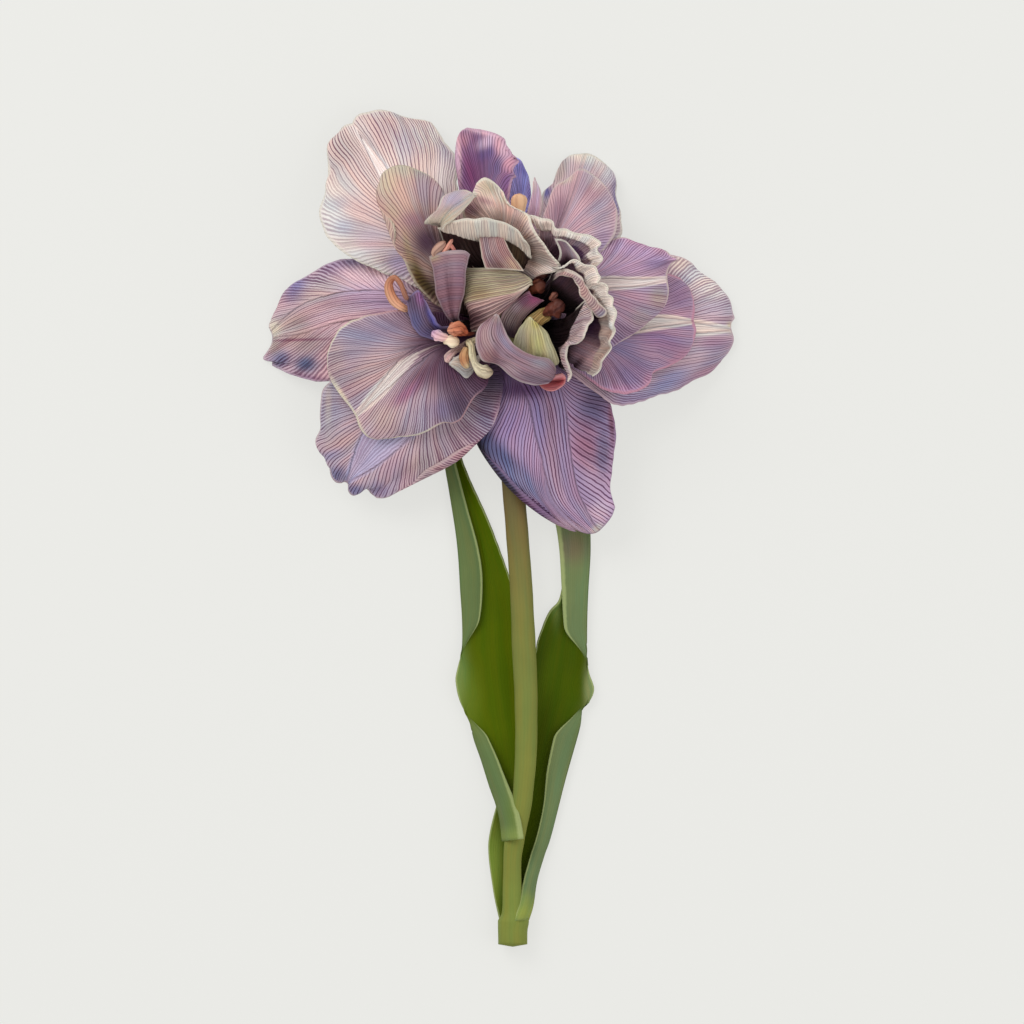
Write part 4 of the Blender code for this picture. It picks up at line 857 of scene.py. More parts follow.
innerPetals["centre_curled_petal"] = dict(
    mid=[(0.4, 3.9, 4.6), (0.3, 11, 9.6), (-1.4, 19, 14.6), (-3.4, 25.6, 20), (-3.6, 25.4, 24.6), (-2.4, 20, 26.2),
        (1, 15.4, 25)],
    left=[(1.2, 4, 4.6), (1.6, 11, 9.6), (0.4, 19, 14.6), (-1, 25.4, 20), (-0.8, 25, 23.4), (0.5, 22, 24.8),
        (1.7, 19.5, 24.9), (3.8, 17, 24.6), (5.6, 14.4, 23.6)],
    right=[(-0.4, 4, 4.6), (-1, 11, 9.6), (-3.2, 19, 14.6), (-6.2, 25.4, 20), (-7, 25, 23), (-6.9, 22, 23.8),
        (-6.4, 18, 23.8), (-5.4, 15, 23.4)],
    tip=[(2.4, 14.8), (-1.6, 15)], ends=((5.3, 14.5), (-5.2, 15.2)),
    seed=20, ruffle=0.2, sway=0.2, pleat=0.14, pleatEvery=1, veins=16, ink=0.85,
    colour="a68783", rim=("cfc3b4", 0.5, 0.8), root=("2a1a1c", 0.5),
    patches=((3, 16.5, 2.6, 2.6, 0, "c0ae92", 0.95), (-2.6, 16, 2.6, 1.4, 0, "84655c", 0.7),
        (-4.6, 21, 1.6, 4, 0, "b09c9c", 0.6)),
)
# its body and root colours are near-black painted shade of the cavity's inner wall below the cream strip
innerPetals["arch_petal"] = dict(
    mid=[(0.9, 5.2, 3.6), (-1, 12, 7.5), (-4.4, 18, 13), (-6, 22.5, 19), (-6.5, 24.4, 26.5), (-6.8, 28.6, 30.5)],
    left=[(0, 5.4, 3.6), (-6, 12, 7.5), (-12, 15.6, 11), (-16, 20.4, 15), (-17.6, 24, 20), (-18, 25.8, 23)],
    right=[(1.8, 5, 3.6), (3.6, 11, 9), (6, 14.6, 14), (7, 18.6, 20), (5.6, 22.4, 26)],
    tip=[(-16, 27.4), (-13.8, 28.3), (-10.1, 28.6), (-5.8, 28.7), (-2.8, 28.4), (0.1, 27.4), (2.4, 26), (4.2, 24.2)],
    bend=1.2, crowd=1.7, tipFrom=0.5, grid=(120, 90), seed=21, frill=0.05, ruffleLong=3.6, pleat=0.1, pleatEvery=2,
    drop=1.4, veins=36, ink=0.6,
    colour="35211f", rim=("e2dccd", 0.45, 0.8), root=("1a0f0f", 0.5),
    strips=(("d3ccbc", (0.3, 2.6, 4.2, 5.4, 6.0, 5.2, 4.6, 4.8, 4.8, 5.0)),),
    patches=((-10.8, 21.5, 1.4, 4, 0, "4c3a34", 0.8), (3.4, 19.6, 1.6, 4, 20, "5a4a36", 0.9),
        (-14, 24, 3, 2, 0, "4a3234", 0.6)),
)
innerPetals["upper_middle_inner_petal"] = dict(
    mid=[(-0.2, 6.4, 2.4), (-0.6, 16, 7.5), (-1, 24, 13), (-1.6, 31, 22.4), (-4.8, 39.4, 22.5)],
    left=[(-1, 6, 2.4), (-4, 14, 7), (-8, 22, 13), (-11.4, 30, 21), (-8.9, 33.4, 23.2), (-7.6, 34.6, 23.4),
        (-8.9, 36, 22.8), (-8.8, 37.4, 22.2)],
    right=[(0.8, 6.4, 2.4), (5, 9.6, 9), (8.6, 13.2, 16), (14.9, 15.1, 23.4), (11.8, 19.7, 26), (9.4, 23.1, 27.2),
        (7.6, 26.8, 27.4), (6.7, 29.3, 27), (4.4, 30.8, 26), (1.9, 32.1, 25), (0.4, 34.1, 24.4), (-0.4, 35.9, 23.6)],
    tip=[(-7.9, 38.6), (-6.2, 39.7), (-4.7, 39.7), (-2.1, 37.9)],
    grid=(80, 80), seed=22, ruffle=0.4, sway=0.5, pleat=0.14, pleatEvery=2, pattern="fan", veins=40, ink=0.5,
    corner=0.5, pole=0.9, ribs=0,
    colour="e8d2c4", rim=("ded6c6", 0.7, 0.9), rimBase=("8a786e", 0.3, 0.5), root=("3a2228", 0.35),
    patches=((-4.5, 37.5, 4, 3, 0, "bab09a", 0.95), (0, 33, 2.4, 2.4, -40, "cdc2aa", 0.9),
        (-8.8, 36.6, 1.4, 1.6, 0, "c8b4b8", 0.8), (-9.5, 31.5, 3.6, 2.6, 0, "7d5a68", 0.9),
        (-5.5, 33.6, 3, 0.9, -20, "8c6270", 0.7), (5.5, 29.4, 1.8, 1.4, 0, "d2cbb0", 0.95),
        (1, 31, 5, 1.6, -25, "dcb4a8", 0.8), (3.5, 27.4, 4, 2, -35, "b39a92", 0.8), (8, 22, 2.6, 4, 30, "ac9a8e", 0.8),
        (10, 17.4, 3, 3, 0, "9b9084", 0.9), (7, 18.6, 1.6, 3, 20, "6e5a4e", 0.9),
        (11.2, 14.9, 3.4, 1.0, 0, "dad4c8", 1.0)),
)
innerPetals["upper_right_ruffled_petal"] = dict(
    mid=[(3.5, 4.6, 3.2), (9, 12.6, 10), (13.4, 17.6, 18), (16.6, 21.6, 25), (18.6, 24.7, 28)],
    left=[(2.6, 5.4, 3.2), (6, 13, 9), (8, 19, 14), (8.8, 24.6, 21), (6, 29.9, 26.4)],
    right=[(4.4, 3.8, 3.2), (13, 9.4, 13), (18.6, 13, 19), (21.4, 15.6, 23), (24.4, 16, 24.4)],
    tip=[(8, 29.3), (10.5, 28.8), (12.8, 27.9), (13.7, 26.3), (17, 25.3), (20, 24.2), (23.5, 23.5), (25.9, 22.1),
        (25.2, 20.3), (26.4, 18), (25.7, 16.7)],
    bend=1.2, crowd=1.7, tipFrom=0.5, grid=(110, 84), seed=23, ruffle=0.5, ruffleLong=4.0, pleatEvery=2, drop=1.0,
    veins=34, ink=0.55,
    colour="6e5260", rim=("e0d9cb", 0.5, 0.8), rimBase=("5a3c48", 0.5, 0.8), root=("2a1a20", 0.55),
    strips=(("a8929a", (6, 5.6, 4.6, 4, 3.8, 4.4, 5.4, 5.6, 5.0)),
        ("ddd5c8", (4.4, 3.8, 2.8, 2.2, 1.9, 2.4, 3.4, 3.6, 3.0))),
    patches=((19, 20, 4, 2.2, -25, "64486a", 0.9), (24, 18.4, 1.8, 2.6, 0, "b4a8a8", 0.9),
        (11, 24, 3, 1.6, -30, "b09aa0", 0.8), (9.4, 22, 3, 2, -40, "a08490", 0.8),
        (25, 17, 1.6, 1.4, 0, "b8aca8", 0.8)),
)
innerPetals["upper_right_folded_petal"] = dict(
    mid=[(5.3, 3.2, 2.4), (12, 9.6, 12), (15.6, 14.6, 20), (17, 19, 25.6), (15, 22.8, 28.2)],
    left=[(4.7, 3.8, 2.4), (10.8, 11, 12), (13.6, 16, 21), (15, 19.4, 26.4), (13.6, 23.2, 28.4)],
    right=[(5.9, 2.6, 2.4), (13.4, 8.6, 12), (18, 12.6, 19), (20.4, 16.4, 24.4), (18.6, 20, 27), (16.2, 22.6, 28.2)],
    tip=[(15, 23)],
    grid=(40, 56), seed=24, ruffle=0.2, sway=0.1, pleat=0.05, veins=20, ink=0.5,
    colour="7f6872", rim=("ddd6ca", 0.5, 0.9), root=("3a2a30", 0.5),
    patches=((17, 17.6, 2.4, 2, 0, "3c242e", 0.95), (19, 19, 1.2, 3, 35, "a8979e", 0.8),
        (14.6, 20.6, 1, 3, 20, "5a3c48", 0.8)),
)
# body, root, shade band and margin base are near-black painted shade of the cavity; the strips are its cream edge
innerPetals["right_ruffled_petal"] = dict(
    mid=[(5.5, 0.6, 3.6), (15, 2.5, 10), (23, 3.6, 18), (27, 3.8, 25), (29.5, 3, 26.8)],
    left=[(5, 2, 3.6), (9, 8, 12), (12.6, 13, 20), (15, 15.3, 26)],
    right=[(5.5, -1, 3.2), (12, -6, 8), (18, -11, 12), (23.3, -13.9, 15.5)],
    tip=[(16, 16.1), (18, 16.5), (20.2, 16.3), (22.6, 15.6), (24.6, 14.3), (25.6, 12.9), (25, 11.4), (26.8, 10.5),
        (28.3, 8.4), (29.4, 5.8), (29.9, 2.8), (29.7, -0.5), (29.2, -3.3), (28.4, -5.5), (27.4, -8), (26, -10.6),
        (24.8, -12.9)],
    bend=1.2, crowd=1.7, tipFrom=0.6, grid=(140, 90), seed=25, ruffle=0.7, ruffleLong=3.4, pleat=0.14, pleatEvery=1,
    drop=0.6, veins=46, ink=0.4,
    colour="4c3340", rim=("e0d8ca", 0.5, 0.8), rimBase=("3c2c36", 0.8, 0.94), root=("150c0e", 0.72),
    bands=((0.74, 0.6, "180e0e", 1.0),),
    strips=(("bba79a", (0.7, 0.9, 3.0, 4.2, 4.0, 4.4, 4.4, 4.2, 3.6, 3.0, 2.6, 2.4, 1.6)),
        ("e4dccf", (0.7, 0.9, 3.0, 4.0, 3.6, 3.4, 2.8, 1.7, 0.7, 0.2, 0.1, 0.1, 0.1))),
    patches=((23.6, -9, 3, 4.6, 15, "c2a2a0", 0.95), (20.5, -6, 3.4, 4, 0, "b494a0", 0.85),
        (22.6, 0.2, 2.4, 3.4, 0, "43284a", 0.9), (20, -2.6, 3.4, 1.6, 35, "4a2e50", 0.8),
        (19, 10.5, 3, 3, 0, "3a2424", 0.8)),
)
# margin base, shade band and root are near-black painted shade of the cavity
innerPetals["right_middle_ruffled_petal"] = dict(
    mid=[(4.4, 2, 4), (10, 8, 12), (14, 13.6, 22), (17.6, 13.8, 26.4), (20.4, 11, 27.8), (22, 7.4, 28),
        (24.4, 4.6, 27.6), (26.6, 3, 27)],
    left=[(5, 2.8, 4), (10.6, 9, 12.4), (13.9, 14.3, 22.2), (17.2, 14.8, 26.2), (20.6, 13.2, 27.4), (22.8, 9.4, 27.6),
        (25.4, 6.2, 27.2), (27.5, 4.2, 26.6)],
    right=[(3.8, 1.2, 4), (9.6, 7, 11.6), (14, 13, 21.6), (17.4, 12.8, 25.8), (19.2, 10.8, 26.8), (20.4, 7.8, 27),
        (22.8, 4.4, 26.6), (25.2, 2.2, 26)],
    tip=[(27.5, 3), (26.4, 2.1)],
    grid=(40, 80), seed=26, ruffle=0.4, ruffleLong=4, pleat=0.1, pleatEvery=2, pattern="across", veins=30, ink=0.8,
    colour="b39890", rim=("d2c4b8", 0.6, 0.85), rimBase=("1a1012", 0.48, 0.55), root=("1c1014", 0.45),
    bands=((0.57, 0.5, "1a1012", 1.0),),
    patches=((26.2, 3, 1.8, 1.4, 0, "8b8a98", 0.8), (24.5, 6.4, 2.4, 2, -40, "b0968e", 0.7)),
)
# body, root and margin base are near-black painted shade of the hollow under its cream strip
innerPetals["right_inner_ruffled_petal"] = dict(
    mid=[(4.9, -1.6, 4), (11, -4.4, 10), (16, -4, 18), (19.4, -2.6, 24.4), (21.6, -2.6, 25.8)],
    left=[(5, -0.6, 4), (12.5, 1, 12), (17.8, 4, 20), (21.8, 7.2, 25)],
    right=[(4.7, -2.6, 3.6), (10.6, -9, 9), (14.6, -13, 13), (17.2, -15.3, 16)],
    tip=[(23.4, 5.4), (24, 3), (23.2, 1.2), (22.3, -0.6), (21.7, -3), (20, -4.8), (17.6, -5.4), (16.8, -7.4), (17, -10),
        (17.7, -13)],
    bend=1.1, crowd=1.8, tipFrom=0.6, grid=(120, 90), seed=27, ruffle=0.5, ruffleLong=3.4, sway=0.2, pleat=0.16,
    pleatEvery=1, drop=1.8, veins=40, ink=0.85,
    colour="221416", rim=("ddd4c6", 0.5, 0.8), rimBase=("221416", 0.7, 0.86), root=("150c10", 0.62),
    strips=(("c2aeaa", (0.3, 3.0, 5.0, 5.4, 5.2, 5.0, 4.6, 3.2, 2.2, 2.0, 1.7, 0.6)),),
)
innerPetals["pink_tongue"] = dict(
    mid=[(1.6, -3.4, 4.8), (1.6, -2.8, 9), (2.2, -0.6, 13), (4.2, 3.2, 15.4), (7.4, 6.6, 16), (10, 6.9, 15.4)],
    left=[(0.9, -3, 4.8), (-0.6, -2, 9), (-1.2, 1, 13), (0.2, 4, 15), (4.1, 7.6, 15.4), (6.6, 9.2, 15.6)],
    right=[(2.4, -3.8, 4.8), (3, -3.6, 9), (3.8, -1.4, 12.6), (5.2, 1.8, 14.6), (7.6, 4.2, 15), (10.4, 6.4, 15)],
    tip=[(7.4, 7.9), (9, 7.4), (10.7, 6.6)], ends=((6.6, 9.2), (10.4, 6.2)),
    grid=(32, 48), seed=28, ruffle=0.2, sway=0.1, pleat=0.1, pleatEvery=1, veins=14,
    colour="776460", rim=("b48a98", 0.4, 0.4), root=("4a3440", 0.5),
    patches=((8, 7.6, 3, 2.4, 40, "94486e", 0.95), (5, 6.6, 1.6, 2, 40, "704458", 0.85),
        (3.2, 4.6, 1.2, 1.4, 0, "947c82", 0.6), (1.2, 0.6, 2, 2.4, 20, "80706c", 0.8)),
)
innerPetals["upper_green_petal"] = dict(
    mid=[(2.4, -2.2, 4.8), (3.6, -5, 8), (5.4, -3, 12), (8, 1, 14), (11.9, 4.6, 13.6)],
    left=[(1.8, -1.6, 4.8), (2.2, -3.8, 8), (3.8, -1.4, 12.4), (6, 1.9, 14.2), (9.2, 4.2, 14)],
    right=[(3, -2.8, 4.8), (5.2, -6.6, 8), (7, -4, 11), (10, -0.4, 12.4), (12.3, 1.6, 13), (12.4, 3.6, 13.2)],
    tip=[(12.3, 5.1)], ends=((9.2, 4.2), (12.5, 3.6)),
    grid=(32, 48), seed=29, ruffle=0.1, sway=0.1, pleat=0.1, pleatEvery=1, groove=0.5, veins=5, ink=0.3,
    colour="ab8e54", rim=("c0a468", 0.6, 0.7), root=("3c2c20", 0.45),
    patches=((4, -4, 2.4, 3, -30, "6e5c3a", 0.9), (6, -2, 1.6, 3, -30, "8d7c52", 0.7),
        (8, 2.6, 2.4, 1, 30, "b89e66", 0.8)),
)
innerPetals["lower_green_petal"] = dict(
    mid=[(2.2, -5.2, 4.2), (6, -10, 9), (7.6, -8, 15.8), (7, -3, 18.4), (7, 1.7, 18.4)],
    left=[(1.6, -5, 4.2), (2.6, -8, 8), (2.4, -5, 14), (3.8, -1, 16.6), (6, 1.9, 17.6)],
    right=[(2.8, -5.4, 4.2), (9, -11, 9), (14.4, -10.4, 14), (13, -5.4, 16), (11.3, -1.8, 17), (8.4, 0.9, 17.6)],
    tip=[(6.9, 2.2)],
    grid=(36, 56), seed=30, ruffle=0.15, sway=0.1, pleatEvery=1, groove=-0.5, veins=7, ink=0.25,
    colour="b5ae84", rim=("cfcba6", 0.6, 0.7), root=("5a5034", 0.35),
    patches=((4.4, -3, 2, 4, 20, "aaa088", 0.9), (8.4, 0.4, 1.4, 1.6, 0, "b4ac64", 0.9),
        (11.4, -5, 1.2, 4, 20, "c6c69e", 0.8), (7.2, -5, 0.7, 4, 0, "8f8a5c", 0.7),
        (13, -9, 1.2, 2.4, 20, "b7b494", 0.7), (9.2, -5, 1.6, 3, 0, "bab878", 0.8)),
)
innerPetals["lower_curled_petal"] = dict(
    mid=[(3.8, -4.4, 3), (9, -11, 9), (13, -14, 13.4), (10, -12.6, 18.4), (4.4, -10.4, 21), (-0.6, -7.4, 22.6),
        (-3.6, -2.8, 23), (-2.2, 2.7, 22)],
    left=[(3, -5.4, 3), (8, -13, 8.5), (12.2, -15.4, 13), (8, -16.2, 16.4), (2.4, -13.8, 18.6), (-1.8, -10.8, 20),
        (-6.2, -9.4, 20.6), (-7.8, -5, 20.8), (-6.8, -0.2, 21), (-3.8, 2.1, 21.4)],
    right=[(4.6, -3.6, 3), (11, -9.6, 9), (13.6, -12, 13.6), (12, -9.4, 17.4), (8.4, -8.3, 19.6), (5.4, -6.9, 21.2),
        (2.2, -4.4, 22.4), (0.2, -1.4, 22.8), (-1.2, 1.8, 22.4)],
    tip=[(-2.2, 3)],
    belly=(0, 0, 0.6, 0.8, 0.4), grid=(48, 110), seed=31, sway=0.6, pleat=0.16, pleatEvery=1, groove=-0.3, veins=17,
    ink=0.65,
    colour="9e828c", rim=("bfb0b0", 0.6, 0.7), root=("3a2a30", 0.25),
    patches=((-5, -4, 2.4, 5, 0, "a5908f", 0.7), (-4.4, -8.6, 2, 2, 0, "8e6a66", 0.7),
        (-2.4, -8, 1.2, 3, 0, "7c5c64", 0.7), (2, -11.6, 3, 1.6, -35, "b39da0", 0.7),
        (8, -14.6, 4, 1.4, -15, "84707c", 0.8), (9.6, -10.4, 3, 1.6, 0, "97929a", 0.8),
        (0.4, -4.6, 1.4, 3, 30, "a79aae", 0.7), (-2.2, 1.8, 1.4, 1.4, 0, "b8a29c", 0.8)),
)
innerPetals["small_blue_petal"] = dict(
    mid=[(-5.9, -0.9, 2.8), (-13, -2.5, 9), (-18.6, -1.8, 13.4), (-21.6, 2, 15.4), (-23.2, 8.6, 14.6)],
    left=[(-6.3, -1.8, 2.8), (-13.5, -4.5, 8), (-19.6, -4, 12), (-23.8, -1.6, 13.6), (-26, 3.4, 14),
        (-26.2, 6.6, 13.6)],
    right=[(-5.5, 0, 2.8), (-12.5, 0, 9.5), (-17.4, -0.8, 14.5), (-19.2, 2, 16.2), (-21, 5.4, 15.8), (-22.2, 8, 14.8)],
    tip=[(-25, 8.2), (-23.4, 9.4)],
    grid=(40, 56), seed=32, pleatEvery=1, veins=14, ink=0.8,
    colour="66556c", rim=("8478a0", 0.5, 0.6), root=("2c2030", 0.42),
    patches=((-22.6, 7.4, 1.4, 2.4, 10, "8a5c88", 0.9), (-19.2, 1.4, 1.0, 3.4, 30, "6560a8", 0.95),
        (-24, 1, 1.6, 3, 10, "5c5a80", 0.8), (-20.4, -2.6, 2.6, 1.6, 0, "6c6088", 0.8),
        (-18, -3, 1.6, 1.4, 0, "a8809a", 0.8)),
)
innerPetals["small_grey_petal"] = dict(
    mid=[(-2.6, -4.8, 3.4), (-6, -9, 9), (-9.6, -12.4, 13), (-12.4, -11, 15), (-14.8, -10.3, 14.8)],
    left=[(-3, -5.4, 3.4), (-7, -10.6, 8.5), (-10, -14.4, 12.5), (-12.6, -12.9, 14), (-14.4, -11.3, 14.6)],
    right=[(-2.2, -4.2, 3.4), (-5.4, -7.6, 9), (-8.6, -8.6, 13), (-11.2, -7.6, 15), (-13.6, -9, 15.2)],
    tip=[(-15.1, -10.3)],
    grid=(32, 48), seed=33, ruffle=0.2, sway=0.1, veins=14, ink=0.4,
    colour="bcb2a4", rim=("ccc6c0", 0.6, 0.7), root=("4a3440", 0.4), bands=((0.5, 0.4, "1a1012", 1.0),),
    patches=((-11, -12.6, 2, 2, 0, "a8a6a8", 0.6), (-13.4, -9.8, 1.4, 1.2, 0, "c8b8a8", 0.7)),
)
innerPetals["small_pink_petal"] = dict(
    mid=[(-4.9, -2.7, 3.4), (-10, -5.2, 10), (-14, -7.4, 13.4), (-15.8, -9.8, 13.8)],
    left=[(-5.2, -2.2, 3.4), (-10.4, -4, 10.5), (-14.6, -6.6, 14), (-16.4, -8.2, 14)],
    right=[(-4.6, -3.2, 3.4), (-9.6, -6.4, 9.5), (-13.4, -7.6, 13), (-15.2, -10.2, 13.6)],
    tip=[(-16.2, -9.8)],
    grid=(24, 40), seed=34, ruffle=0.1, sway=0.1, veins=10, ink=0.4,
    colour="d0a8a4", rim=("d8b8b0", 0.6, 0.7), root=("4a3440", 0.4), bands=((0.66, 0.54, "1a1012", 1.0),),
)
innerPetals["small_red_petal"] = dict(
    mid=[(2.2, -6, 2), (6.6, -12, 6), (10, -15.7, 8.6), (13, -15.4, 8.4), (16, -14.7, 8.8)],
    left=[(1.8, -5.2, 2), (6, -10.8, 7), (10.2, -14.9, 10), (12.8, -13.9, 11.4), (15.6, -13.1, 11)],
    right=[(2.6, -6.8, 2), (7.2, -13.2, 6), (10.2, -16.5, 9.6), (12.8, -17.6, 10.6), (15.4, -16.4, 10.2)],
    tip=[(16.4, -14), (16.3, -15.4)],
    bend=0.8, grid=(36, 56), seed=35, ruffle=0.1, sway=0.1, groove=0.5, veins=8, ink=0.3,
    colour="c8666a", rim=("d99a98", 0.5, 0.6), root=("5a2c44", 0.5),
    patches=((13, -15.3, 3, 0.6, 5, "5a1f2c", 0.95), (14, -13.8, 2, 0.8, 10, "d99594", 0.8),
        (13.4, -16.8, 2.4, 0.7, 0, "cf8488", 0.8)),
)
addSheets(innerPetals, dict(pattern="long", ruffle=0.3, sway=0.3), 0.35, "_crumpled")
print("inner petals made:", len(innerPetals))


leafUsual = dict(
    pattern="long", ease=0.05, frill=0.05, ruffle=0.15, ruffleWide=4, ruffleLong=14, sway=0.25, pleat=0.02,
    pleatEvery=1, rimFall=0.1, bend=1.4, rimFrom=-1, belly=(0, -0.4, -0.6, -0.4, 0), ink=0.16,
    rim=("a3ae74", 0.28, 0.7),
)
leaves = {}
leaves["upper_leaf"] = dict(
    mid=[(2.6, -139, -12.6), (1.5, -130, -14.6), (0, -118, -15.4), (-2.4, -104, -15.8), (-4, -90, -16),
        (-4.4, -76, -16.2), (-6, -62, -16.4), (-9, -50, -16.4), (-13, -38, -16.3), (-15, -28, -16)],
    left=[(-0.6, -139.4, -12), (-1.2, -134, -13.4), (-2.2, -129.6, -14), (-4.1, -124.2, -14.6), (-6.2, -117.5, -14.8),
        (-8.1, -112.1, -15), (-9.6, -106.7, -15), (-12.2, -101.3, -14.6), (-13.1, -95.9, -14.2), (-12.2, -91, -14.4),
        (-11.3, -86.4, -14.8), (-11.4, -79, -15), (-11.9, -71.6, -15), (-12.4, -63, -15), (-13.2, -55.4, -15),
        (-14.9, -44.6, -15), (-16, -38, -15), (-17, -29, -15)],
    right=[(5.2, -139, -13), (6.4, -130, -15), (7, -118, -16), (6.8, -104, -16.2), (6, -90, -16.4), (3.8, -76, -16.6),
        (0.8, -67, -16.2), (-1.4, -60.8, -16), (-4, -54, -15.8), (-6.8, -47.3, -15.6), (-11.9, -35.9, -15.6),
        (-13, -28, -15.6)],
    folds=((-1, -0.2, 0.37, 0.6, (5.8, 5.8, 5.8, 5.2, 4.4, 3.4, 2.4), (6.4, 6.4, 6.2, 4, 2.4, 1.4)),
        (-1, 0.42, 1.3, 0.55, (1.4, 3.4, 5.4, 6.3, 5.6, 4.4, 3.6, 3.0, 2.6, 2.4, 2.4, 2.4, 2.4), 1.8)), grid=(64, 150),
    seed=41, groove=0.5, veins=26,
    colour="4f6200", side=("5e7004", 0.1, 0.9, 0.4), foldColour="657648",
    patches=((-12.4, -96, 2.6, 10, 0, "76904e", 0.9), (-9.5, -101, 3, 9, 0, "647a22", 0.6),
        (-3, -60, 3, 10, 15, "465c00", 0.6), (3, -131, 2.6, 8, 0, "68782c", 0.5),
        (2.4, -138.2, 5, 2.4, -5, "7a8a48", 0.95)),
)
leaves["lower_leaf"] = dict(
    mid=[(2.2, -161, -14.6), (3.4, -152, -15.6), (4.6, -142, -16.2), (7, -130, -16.5), (11, -116, -16.6),
        (14.4, -102, -16.7), (16.4, -90, -16.7), (18.2, -76, -16.6), (18.6, -62, -16.4), (17.5, -46, -16.2),
        (15, -30, -15.8)],
    left=[(-1.4, -160.6, -13.4), (-2.4, -156.5, -14.4), (-3.2, -152, -14.8), (-4.3, -143.1, -15), (-4.1, -137.7, -15.2),
        (-2.2, -129.9, -15.6), (0.8, -121, -16), (4, -109, -16.4), (6.4, -98, -16.6), (8.6, -87.2, -16),
        (10, -82.4, -15.6), (12.2, -77.5, -15.4), (14.8, -74.3, -15), (16, -66.2, -15.6), (15.4, -58.1, -15.6),
        (14.4, -54.5, -15.6), (13.4, -44, -15.6), (12.4, -30, -15.4)],
    right=[(6.4, -160.6, -13.4), (7.6, -156.6, -14.4), (8.6, -149.9, -15), (10.6, -143, -15.2), (12.4, -137.7, -15.4),
        (16.2, -122.9, -15.6), (20, -109.4, -15.4), (20.8, -104, -15.2), (23, -101.3, -15), (24, -98, -15),
        (22.6, -93.5, -15), (22.1, -89, -15), (22.1, -80, -15), (22.4, -71.6, -15), (23, -60, -15), (22.4, -50, -15),
        (20.4, -40, -15), (17.4, -30, -15.4)],
    folds=((1, -0.2, 0.50, 0.55, (4.8, 4.8, 4.8, 3.6, 3.6, 4.0, 5.8, 6.4, 5.0), (6, 6, 6, 3, 2, 1.7, 1.7, 1.7, 1.4)),
        (1, 0.49, 1.3, 0.5, (2.0, 6.0, 7.6, 9, 10.4, 10, 9, 9, 9), 1.8)), grid=(64, 160), seed=42, veins=30,
    colour="3f5100", foldColour="6a7c52",
    patches=((-2.8, -145, 2.6, 13, 0, "7c8c36", 0.95), (5.4, -158.6, 5, 3, 10, "8a9646", 1.0),
        (4.4, -155, 4, 2.4, -20, "7f8f48", 0.7), (23, -98, 1.6, 7, 0, "84905c", 0.9),
        (17.5, -60, 5.6, 4.6, 0, "6e6650", 0.8), (14, -72, 1.6, 8, 0, "7f9450", 0.6),
        (9.6, -100, 2.4, 14, -16, "54680a", 0.5), (20, -112, 2, 8, -10, "5c7040", 0.5)),
)
addSheets(leaves, leafUsual, 0.55, "_waxy")
print("leaves made:", len(leaves))


# round things: the stem, the stamens and the pistil

usualTube = dict(grid=(56, 28), cap=0.6, spin=0, flat=1.0, lump=0.0, lumpSize=3.0, ink=0.3)
lumpSeed = 5
capLeast = 0.3
noRim = 3.0  # a distance from the margin at which nothing of the rim shows
steep = 0.8
across, acrossSteep = (0.31, 0.22, 1.0), (0.1, 1.0, 0.2)  # a way to look across a level path, and across a steep one
mergeNear = 0.004


def turnFrames(path):
    # two directions across the path that don't twist along it
    ahead = unit(np.gradient(path, axis=0))
    side = np.zeros_like(path)
    last = np.cross(ahead[0], across if abs(ahead[0, 2]) < steep else acrossSteep)
    for i, step in enumerate(ahead):
        last = last - step * np.dot(last, step)
        last = last / max(np.linalg.norm(last), tiny)
        side[i] = last
    return side, np.cross(ahead, side)


def addTube(bm, layers, tube, seed):
    uvLayer, tintLayer, rimLayer, veinLayer = layers
    rings, sides = tube["grid"]
    share = np.linspace(0, 1, rings + 1)
    path = curve(tube["path"], share)
    centre, radius = path[:, :3], path[:, 3].copy()
    ahead = distances(centre)
    for end in (ahead, ahead[-1] - ahead):
        # each end closes as an ellipse
        cap = tube["cap"] * np.maximum(radius, capLeast)
        radius *= np.sqrt(np.clip(1 - (1 - np.clip(end / cap, 0, 1)) ** 2, 0, 1))
    side, over = turnFrames(centre)
    tint = along([linear(colour) for colour in tube["colours"]], share)
    for vert, r, k in addGrid(bm, rings, sides, uvLayer):
        angle = 2 * math.pi * k / sides + tube["spin"]
        arm = side[r] * math.cos(angle) * radius[r] + over[r] * math.sin(angle) * radius[r] * tube["flat"]
        spot = centre[r] + arm
        if tube["lump"]:
            size = tube["lumpSize"]
            bulge = waves((spot[0] + spot[2]) / size, (spot[1] - spot[2]) / size, seed)
            spot = centre[r] + arm * (1 + tube["lump"] * float(bulge))
        vert[tintLayer] = (*np.clip(tint[r], 0, 1), tube["ink"])
        vert[rimLayer] = (*tint[r], 0.0)
        vert[veinLayer] = (tube["veins"] * k / sides, ahead[r], noRim)
        vert.co = asSeen(spot) * mm + heart


def makeTubes(name, tubes, finish):
    bm = bmesh.new()
    layers = newLayers(bm)
    for number, tube in enumerate(tubes):
        addTube(bm, layers, {**usualTube, **tube}, lumpSeed + number)
    bmesh.ops.remove_doubles(bm, verts=bm.verts, dist=mergeNear * mm)
    bmesh.ops.recalc_face_normals(bm, faces=bm.faces)
    return newPiece(name, bm, finish)


